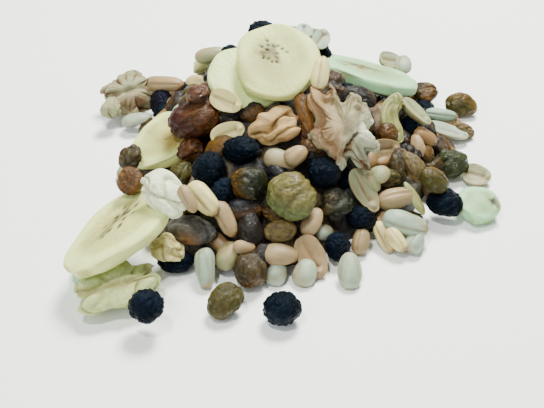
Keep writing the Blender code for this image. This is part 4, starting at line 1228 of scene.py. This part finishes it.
def core_part(tones):
    """The heap's inside: domes the size of the pieces on a mound that lies inside the pieces seen, coloured
    as painted shade.

    The height is the mound's, less the inset, plus the highest of the domes over that point.
    """
    random = np.random.default_rng(CORE_SEED)
    angle = np.arange(CORE_FACES[1]) * math.tau / CORE_FACES[1]
    share = np.linspace(1.0 / CORE_FACES[0], 1.0, CORE_FACES[0])[:, None]
    foot = bed_foot(angle) - CORE_SHORT
    x, y = (
        np.r_[middle, (middle + share * foot * part).ravel(), middle]
        for middle, part in zip(BED_MIDDLE, (np.cos(angle), np.sin(angle))))
    place = random.uniform(-REACH, REACH, (CORE_DOMES, 2))
    radius = random.uniform(*CORE_RADII, CORE_DOMES)
    apart = (x[:, None] - place[:, 0]) ** 2 + (y[:, None] - place[:, 1]) ** 2
    domes = np.sqrt(np.clip(radius ** 2 - apart, 0.0, None))
    inset = bpy.context.scene.trail_mix_sizes.core_inset / MM
    z = np.maximum(bed_height(x, y) - inset + domes.max(axis=1), FLOOR)
    z[-CORE_FACES[1] - 1:] = FLOOR
    looks = np.array([tones[name] for name in CORE_LOOKS])[np.arange(CORE_DOMES) % len(CORE_LOOKS)]
    # Painted shade: the pieces' tones darkened by a share on the domes, and the dark core tone between
    # them.
    looks = looks[domes.argmax(axis=1)] * CORE_TONE_IN_SHADE
    colours = blended(tones["core_shade"], looks, domes.max(axis=1) / CORE_RIM)
    points = np.c_[x, y, z]
    return points, lattice_triangles(*CORE_FACES), np.clip(colours, 0.0, 1.0), points


def add_node(tree, kind, settings=None, links=None):
    """Adds a node, sets its properties and sockets by name or number, and links sockets to it."""
    node = tree.nodes.new(kind)
    for name, value in (settings or {}).items():
        if isinstance(name, int) or name in node.inputs:
            node.inputs[name].default_value = value
        else:
            setattr(node, name, value)
    for name, source in (links or {}).items():
        tree.links.new(source, node.inputs[name])
    return node


def new_material(name):
    """A material with an empty node tree, and the pieces' two attributes: their tint, and own mm."""
    material = bpy.data.materials.new(name)
    material.use_nodes = True
    tree = material.node_tree
    tree.nodes.clear()
    tint = add_node(tree, "ShaderNodeAttribute", {"attribute_name": "tint"}).outputs["Color"]
    own = add_node(tree, "ShaderNodeAttribute", {"attribute_name": "own"}).outputs["Vector"]
    return material, tree, tint, own


def finished(material, settings, links):
    """The material with a Principled shader on its output, with these settings and links."""
    tree = material.node_tree
    shader = add_node(tree, "ShaderNodeBsdfPrincipled", settings, links)
    add_node(tree, "ShaderNodeOutputMaterial", links={"Surface": shader.outputs["BSDF"]})
    return material


def through(weight, red, green, blue, scale):
    """How light goes through: how much, how far for each colour as a share, and that scale in mm."""
    return {
        "Subsurface Weight": weight,
        "Subsurface Radius": (red, green, blue),
        "Subsurface Scale": scale * MM,
    }


def noise(tree, own, size, detail, stretch=(1.0, 1.0, 1.0)):
    """Noise whose patches are a size in mm, stretched along the piece where a share is under 1."""
    place = add_node(tree, "ShaderNodeMapping", {"vector_type": "POINT", "Scale": stretch}, {"Vector": own})
    settings = {"Scale": 1.0 / size, "Detail": detail, "Roughness": 0.6}
    links = {"Vector": place.outputs["Vector"]}
    return add_node(tree, "ShaderNodeTexNoise", settings, links).outputs["Fac"]


def mapped(tree, value, low, high):
    """Noise from 0.3 to 0.7 taken to a range, and held within it."""
    settings = {"From Min": 0.3, "From Max": 0.7, "To Min": low, "To Max": high}
    return add_node(tree, "ShaderNodeMapRange", settings, {"Value": value}).outputs["Result"]


def flecked(tree, tint, share):
    """The tint made lighter and darker by a factor."""
    settings = {"operation": "SCALE"}
    return add_node(tree, "ShaderNodeVectorMath", settings, {0: tint, "Scale": share}).outputs["Vector"]


def bumped(tree, heights, distance):
    """A normal raised by a height from 0 to 1, times a distance in mm."""
    settings = {"Strength": 1.0, "Distance": distance * MM}
    return add_node(tree, "ShaderNodeBump", settings, {"Height": heights}).outputs["Normal"]


def skin_links(tree, tint, patches, shades, grain, roughness, relief):
    """Tint flecked by patches between two shades, and a grain that roughens and raises the skin in mm."""
    return {
        "Base Color": flecked(tree, tint, mapped(tree, patches, *shades)),
        "Roughness": mapped(tree, grain, *roughness),
        "Normal": bumped(tree, grain, relief),
    }


def peanut_material():
    """Blanched dry-roasted peanut: split or whole kernels with the skin rubbed off.

    The oil at the surface gives it a dull waxy gloss, and light goes a little way in.
    """
    material, tree, tint, own = new_material("Dry roasted peanut")
    patches = noise(tree, own, 2.6, 3.0, (0.5, 1.0, 1.0))
    grain = noise(tree, own, 0.5, 2.0, (0.35, 1.0, 1.0))
    links = skin_links(tree, tint, patches, (0.84, 1.1), grain, (0.38, 0.58), 0.12)
    return finished(material, {"IOR": 1.46, **through(0.18, 1.0, 0.7, 0.4, 1.2)}, links)


def raisin_material(name, scatter):
    """Sun-dried grape: a thin tough skin, shrunk in folds over sticky flesh.

    The sugar makes it shine in small broken highlights, and light shows amber through the thin parts.
    """
    material, tree, tint, own = new_material(name)
    patches = noise(tree, own, 1.8, 4.0)
    grain = noise(tree, own, 0.8, 3.0, (0.6, 1.0, 1.0))
    links = skin_links(tree, tint, patches, (0.62, 1.35), grain, (0.42, 0.62), 0.45)
    links["Coat Normal"] = bumped(tree, noise(tree, own, 0.75, 2.0), 0.5)
    links["Coat Weight"] = mapped(tree, noise(tree, own, 1.1, 2.0), -0.7, 1.1)
    settings = {"IOR": 1.33, "Specular IOR Level": 0.35, "Coat Roughness": 0.07, "Coat IOR": 1.38}
    return finished(material, {**settings, **through(scatter, 1.0, 0.55, 0.2, 2.0)}, links)


def berry_material():
    """Dried blueberry: nearly black skin in close wrinkles, satin where the bloom is rubbed off."""
    material, tree, tint, own = new_material("Dried blueberry skin")
    patches = noise(tree, own, 1.6, 3.0)
    links = skin_links(tree, tint, patches, (0.6, 1.4), noise(tree, own, 0.55, 3.0), (0.3, 0.5), 0.5)
    sheen = {"IOR": 1.33, "Specular IOR Level": 0.3, "Specular Tint": (*linear(BLOOM_SHEEN), 1.0)}
    return finished(material, sheen, links)


def banana_material():
    """Dried banana slice: soft flesh cut across, matt and a little fibrous, pale at the cut.

    Light goes well into it, so its edges glow and its shadows are soft.
    """
    material, tree, tint, own = new_material("Dried banana flesh")
    patches = noise(tree, own, 4.0, 3.0)
    links = skin_links(tree, tint, patches, (0.92, 1.06), noise(tree, own, 0.7, 4.0), (0.42, 0.62), 0.18)
    return finished(material, {"IOR": 1.42, **through(0.12, 1.0, 0.8, 0.45, 0.8)}, links)


def walnut_material():
    """Shelled walnut kernel: a dry papery skin, tan over the lobes and brown in the folds, where the brown
    is painted shade.
    """
    material, tree, tint, own = new_material("Walnut kernel skin")
    patches = noise(tree, own, 1.8, 4.0)
    links = skin_links(tree, tint, patches, (0.76, 1.14), noise(tree, own, 0.6, 4.0), (0.45, 0.7), 0.35)
    return finished(material, {"IOR": 1.45, **through(0.08, 1.0, 0.2, 0.1, 1.0)}, links)


def strip_material():
    """Sugared fruit strip: glossy and fibrous, with light showing through."""
    material, tree, tint, own = new_material("Dried fruit strip")
    threads = noise(tree, own, 0.9, 3.0, (0.2, 1.0, 1.0))
    settings = {"IOR": 1.47, "Roughness": 0.4, **through(0.35, 1.0, 0.7, 0.3, 2.0)}
    return finished(material, settings, {
        "Base Color": flecked(tree, tint, mapped(tree, threads, 0.85, 1.1)),
        "Normal": bumped(tree, threads, 0.3),
    })


def core_material():
    """What lies deep in the heap: domes of fruit and nut, painted dark as the shade of the rest."""
    material, tree, tint, own = new_material("Heap inside in painted shade")
    grain = noise(tree, own, 1.5, 4.0)
    return finished(material, {"Roughness": 0.6}, {
        "Base Color": flecked(tree, tint, mapped(tree, grain, 0.6, 1.2)),
        "Normal": bumped(tree, grain, 0.8),
    })


def floor_material():
    """Matt white laminate: plain, so that only soft shadows show."""
    material, tree = new_material("Matt white laminate")[:2]
    place = add_node(tree, "ShaderNodeTexCoord").outputs["Object"]
    settings = {"Scale": 1.0 / (FLOOR_GRAIN * MM), "Detail": 2.0}
    grain = add_node(tree, "ShaderNodeTexNoise", settings, {"Vector": place}).outputs["Fac"]
    settings = {"Base Color": (*linear(FLOOR_COLOUR), 1.0), "Roughness": 0.7}
    return finished(material, settings, {"Normal": bumped(tree, grain, 0.02)})


def relief_share(name, description, default):
    """A panel value for how deep a relief is, as a share of a piece's width."""
    return FloatProperty(
        name=name, description=description + " as a share of its width",
        default=default, min=0.0, max=0.25, subtype="FACTOR")


def light_power(name, description, default):
    """A panel value for the power of a light."""
    return FloatProperty(name=name, description=description, default=default, min=0.0, unit="POWER")


class TrailMixSizes(bpy.types.PropertyGroup):
    """Depths of the relief on the pieces, and how far the dark inside lies below them."""

    raisin_folds: relief_share("Raisin folds", "Depth of a raisin's folds", 0.1)
    berry_wrinkles: relief_share("Berry wrinkles", "Depth of a berry's wrinkles", 0.06)
    walnut_folds: relief_share("Walnut folds", "Depth of a walnut's folds", 0.1)
    core_inset: FloatProperty(
        name="Core inset", description="How far the inside of the heap lies below its mound",
        default=5.0 * MM, min=0.0, max=10.0 * MM, unit="LENGTH", subtype="DISTANCE")


class TrailMixColours(bpy.types.PropertyGroup):
    """The colour of each kind of piece."""

    __annotations__ = {
        look: FloatVectorProperty(
            name=look.replace("_", " ").capitalize(), description="Colour of " + look.replace("_", " "),
            default=linear(shade), size=3, min=0.0, max=1.0, subtype="COLOR")
        for look, shade in LOOKS.items()
    }


class TrailMixStage(bpy.types.PropertyGroup):
    """Light and floor."""

    floor_size: FloatProperty(
        name="Floor size", description="Side of the square floor",
        default=6.0, min=1.0, unit="LENGTH", subtype="DISTANCE")
    key_power: light_power("Key light", "Power of the large light above", 14.0)
    fill_power: light_power("Fill light", "Power of the light from the front", 3.0)
    lamp_power: light_power("Lamp", "Power of the small lamp that gives the highlights", 4.0)
    sky_strength: FloatProperty(
        name="Sky", description="Strength of the even light from all round",
        default=0.4, min=0.0)


class PieceOperator:
    """What the operators for pieces share: which pieces they take, and how they are joined."""

    bl_options = {"REGISTER", "UNDO"}

    def add(self, name, kind, material, slot, looks=LOOKS):
        """Joins the dressed pieces of one kind, the small ones of the heap, into one mesh."""
        tones = tones_now()
        wanted = [piece for piece in laid_out() if piece.kind == kind and piece.look in looks]
        parts = [dressed(piece, tones) for piece in wanted if not piece.name]
        if not parts:
            raise RuntimeError("no pieces for " + name)
        mesh_piece(name, parts, material, (HEAP_NODE,))

    def add_toppings(self, kinds, material, slot):
        """Builds each topping of some kinds as a mesh of its own, in the place of its node."""
        tones = tones_now()
        for piece in laid_out():
            if piece.name and piece.kind in kinds:
                parts = [dressed(piece, tones)]
                mesh_piece(piece.name + "_dressed", parts, material, (piece.name,))


class TRAILMIX_OT_core(PieceOperator, bpy.types.Operator):
    """Builds the dark inside of the heap"""

    bl_idname = "trailmix.core"
    bl_label = "Inside of the heap"

    def execute(self, context):
        mesh_piece("heap_core", [core_part(tones_now())], core_material(), (HEAP_NODE,))
        return {"FINISHED"}


class TRAILMIX_OT_peanuts(PieceOperator, bpy.types.Operator):
    """Builds the split and the whole peanuts"""

    bl_idname = "trailmix.peanuts"
    bl_label = "Peanuts"

    def execute(self, context):
        material = peanut_material()
        self.add("peanut_halves", "half", material, "peanut")
        self.add("whole_peanuts", "whole", material, "peanut")
        self.add_toppings(("half",), material, "peanut")
        return {"FINISHED"}


class TRAILMIX_OT_raisins(PieceOperator, bpy.types.Operator):
    """Builds the green and the brown raisins"""

    bl_idname = "trailmix.raisins"
    bl_label = "Raisins"

    def execute(self, context):
        green = raisin_material("Green raisin skin", 0.3)
        brown = raisin_material("Brown raisin skin", 0.2)
        self.add("green_raisins", "raisin", green, "green_raisin", GREEN_LOOKS)
        self.add("brown_raisins", "raisin", brown, "brown_raisin", BROWN_LOOKS)
        self.add_toppings(("raisin",), green, "green_raisin")
        return {"FINISHED"}


class TRAILMIX_OT_berries(PieceOperator, bpy.types.Operator):
    """Builds the dried blueberries"""

    bl_idname = "trailmix.berries"
    bl_label = "Blueberries"

    def execute(self, context):
        material = berry_material()
        self.add("blueberries", "berry", material, "blueberry")
        self.add_toppings(("berry",), material, "blueberry")
        return {"FINISHED"}


class TRAILMIX_OT_banana(PieceOperator, bpy.types.Operator):
    """Builds the slices of dried banana"""

    bl_idname = "trailmix.banana"
    bl_label = "Banana slices"

    def execute(self, context):
        self.add_toppings(("slice",), banana_material(), "dried_banana")
        return {"FINISHED"}


class TRAILMIX_OT_walnuts(PieceOperator, bpy.types.Operator):
    """Builds the walnut halves and the broken bits"""

    bl_idname = "trailmix.walnuts"
    bl_label = "Walnuts"

    def execute(self, context):
        material = walnut_material()
        self.add_toppings(("walnut", "open_walnut"), material, "walnut_kernel")
        self.add("nut_bits", "walnut_bit", material, "walnut_kernel")
        return {"FINISHED"}


class TRAILMIX_OT_strips(PieceOperator, bpy.types.Operator):
    """Builds the curl and the shred of dried fruit"""

    bl_idname = "trailmix.strips"
    bl_label = "Fruit strips"

    def execute(self, context):
        material = strip_material()
        self.add_toppings(("curl",), material, "fruit_strip")
        self.add("fruit_shred", "shred", material, "fruit_strip")
        return {"FINISHED"}


class TRAILMIX_OT_stage(bpy.types.Operator):
    """Builds the floor, the lights and the camera"""

    bl_idname = "trailmix.stage"
    bl_label = "Floor, lights and camera"

    def execute(self, context):
        settings = context.scene.trail_mix_stage
        build_floor(settings.floor_size)
        build_world(settings.sky_strength)
        build_light("key", KEY_PLACE, KEY_SIZE, settings.key_power, KEY_COLOUR)
        build_light("fill", FILL_PLACE, FILL_SIZE, settings.fill_power, FILL_COLOUR)
        build_light("lamp", LAMP_PLACE, LAMP_SIZE, settings.lamp_power, KEY_COLOUR)
        build_camera()
        return {"FINISHED"}


def build_floor(side):
    """A square floor at the height of the surface."""
    half = side / 2.0
    mesh = bpy.data.meshes.new("floor")
    corners = ((-half, -half, 0.0), (half, -half, 0.0), (half, half, 0.0), (-half, half, 0.0))
    mesh.from_pydata(corners, [], [(0, 1, 2, 3)])
    mesh.materials.append(floor_material())
    floor = added("floor", mesh)


def build_world(strength):
    """Even pale light from all round."""
    world = bpy.data.worlds.new("Soft daylight")
    world.use_nodes = True
    background = world.node_tree.nodes["Background"]
    background.inputs["Color"].default_value = (*linear(SKY_COLOUR), 1.0)
    background.inputs["Strength"].default_value = strength
    bpy.context.scene.world = world


def build_light(name, place, size, power, colour):
    """A square area light that faces the heap."""
    data = bpy.data.lights.new(name, "AREA")
    data.size = size
    data.energy = power
    data.color = linear(colour)
    light = added(name, data)
    light.location = place
    light.rotation_euler = (-Vector(place)).to_track_quat("-Z", "Y").to_euler()


def build_camera():
    """A camera at the eye that the layout was read from, with the same width of view."""
    data = bpy.data.cameras.new("camera")
    data.sensor_width = SENSOR_WIDTH
    data.lens = SENSOR_WIDTH * EYE_DISTANCE * PIXELS_PER_MM / PICTURE_WIDTH
    data.clip_start = CLIP_START
    camera = added("camera", data)
    camera.location = Vector((AIM + EYE_DISTANCE * TOWARD) * MM)
    camera.rotation_euler = Vector(-TOWARD).to_track_quat("-Z", "Y").to_euler()
    bpy.context.scene.camera = camera


class TRAILMIX_PT_panel(bpy.types.Panel):
    """Lists the steps that build the heap, with their sizes and colours"""

    bl_idname = "TRAILMIX_PT_panel"
    bl_label = "Trail Mix"
    bl_space_type = "VIEW_3D"
    bl_region_type = "UI"
    bl_category = "Trail Mix"

    def draw(self, context):
        for step in STEPS:
            self.layout.operator(step.bl_idname)
        for group in SETTINGS:
            settings = getattr(context.scene, group)
            box = self.layout.box()
            for name in settings.bl_rna.properties.keys():
                if name not in ("rna_type", "name"):
                    box.prop(settings, name)


STEPS = (
    TRAILMIX_OT_core,
    TRAILMIX_OT_peanuts,
    TRAILMIX_OT_raisins,
    TRAILMIX_OT_berries,
    TRAILMIX_OT_walnuts,
    TRAILMIX_OT_strips,
    TRAILMIX_OT_banana,
    TRAILMIX_OT_stage,
)
SETTINGS = {
    "trail_mix_sizes": TrailMixSizes,
    "trail_mix_stage": TrailMixStage,
    "trail_mix_colours": TrailMixColours,
}


def register():
    """Registers the settings, the steps and the panel."""
    for name, group in SETTINGS.items():
        bpy.utils.register_class(group)
        setattr(bpy.types.Scene, name, PointerProperty(type=group))
    for step in STEPS + (TRAILMIX_PT_panel,):
        bpy.utils.register_class(step)


def unregister():
    """Takes away what register added."""
    for step in (TRAILMIX_PT_panel,) + STEPS[::-1]:
        bpy.utils.unregister_class(step)
    for name, group in SETTINGS.items():
        delattr(bpy.types.Scene, name)
        bpy.utils.unregister_class(group)


def main():
    """Builds everything, one step after another."""
    register()
    for step in STEPS:
        group, name = step.bl_idname.split(".")
        getattr(getattr(bpy.ops, group), name)()
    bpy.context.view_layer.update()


if __name__ == "__main__":
    main()
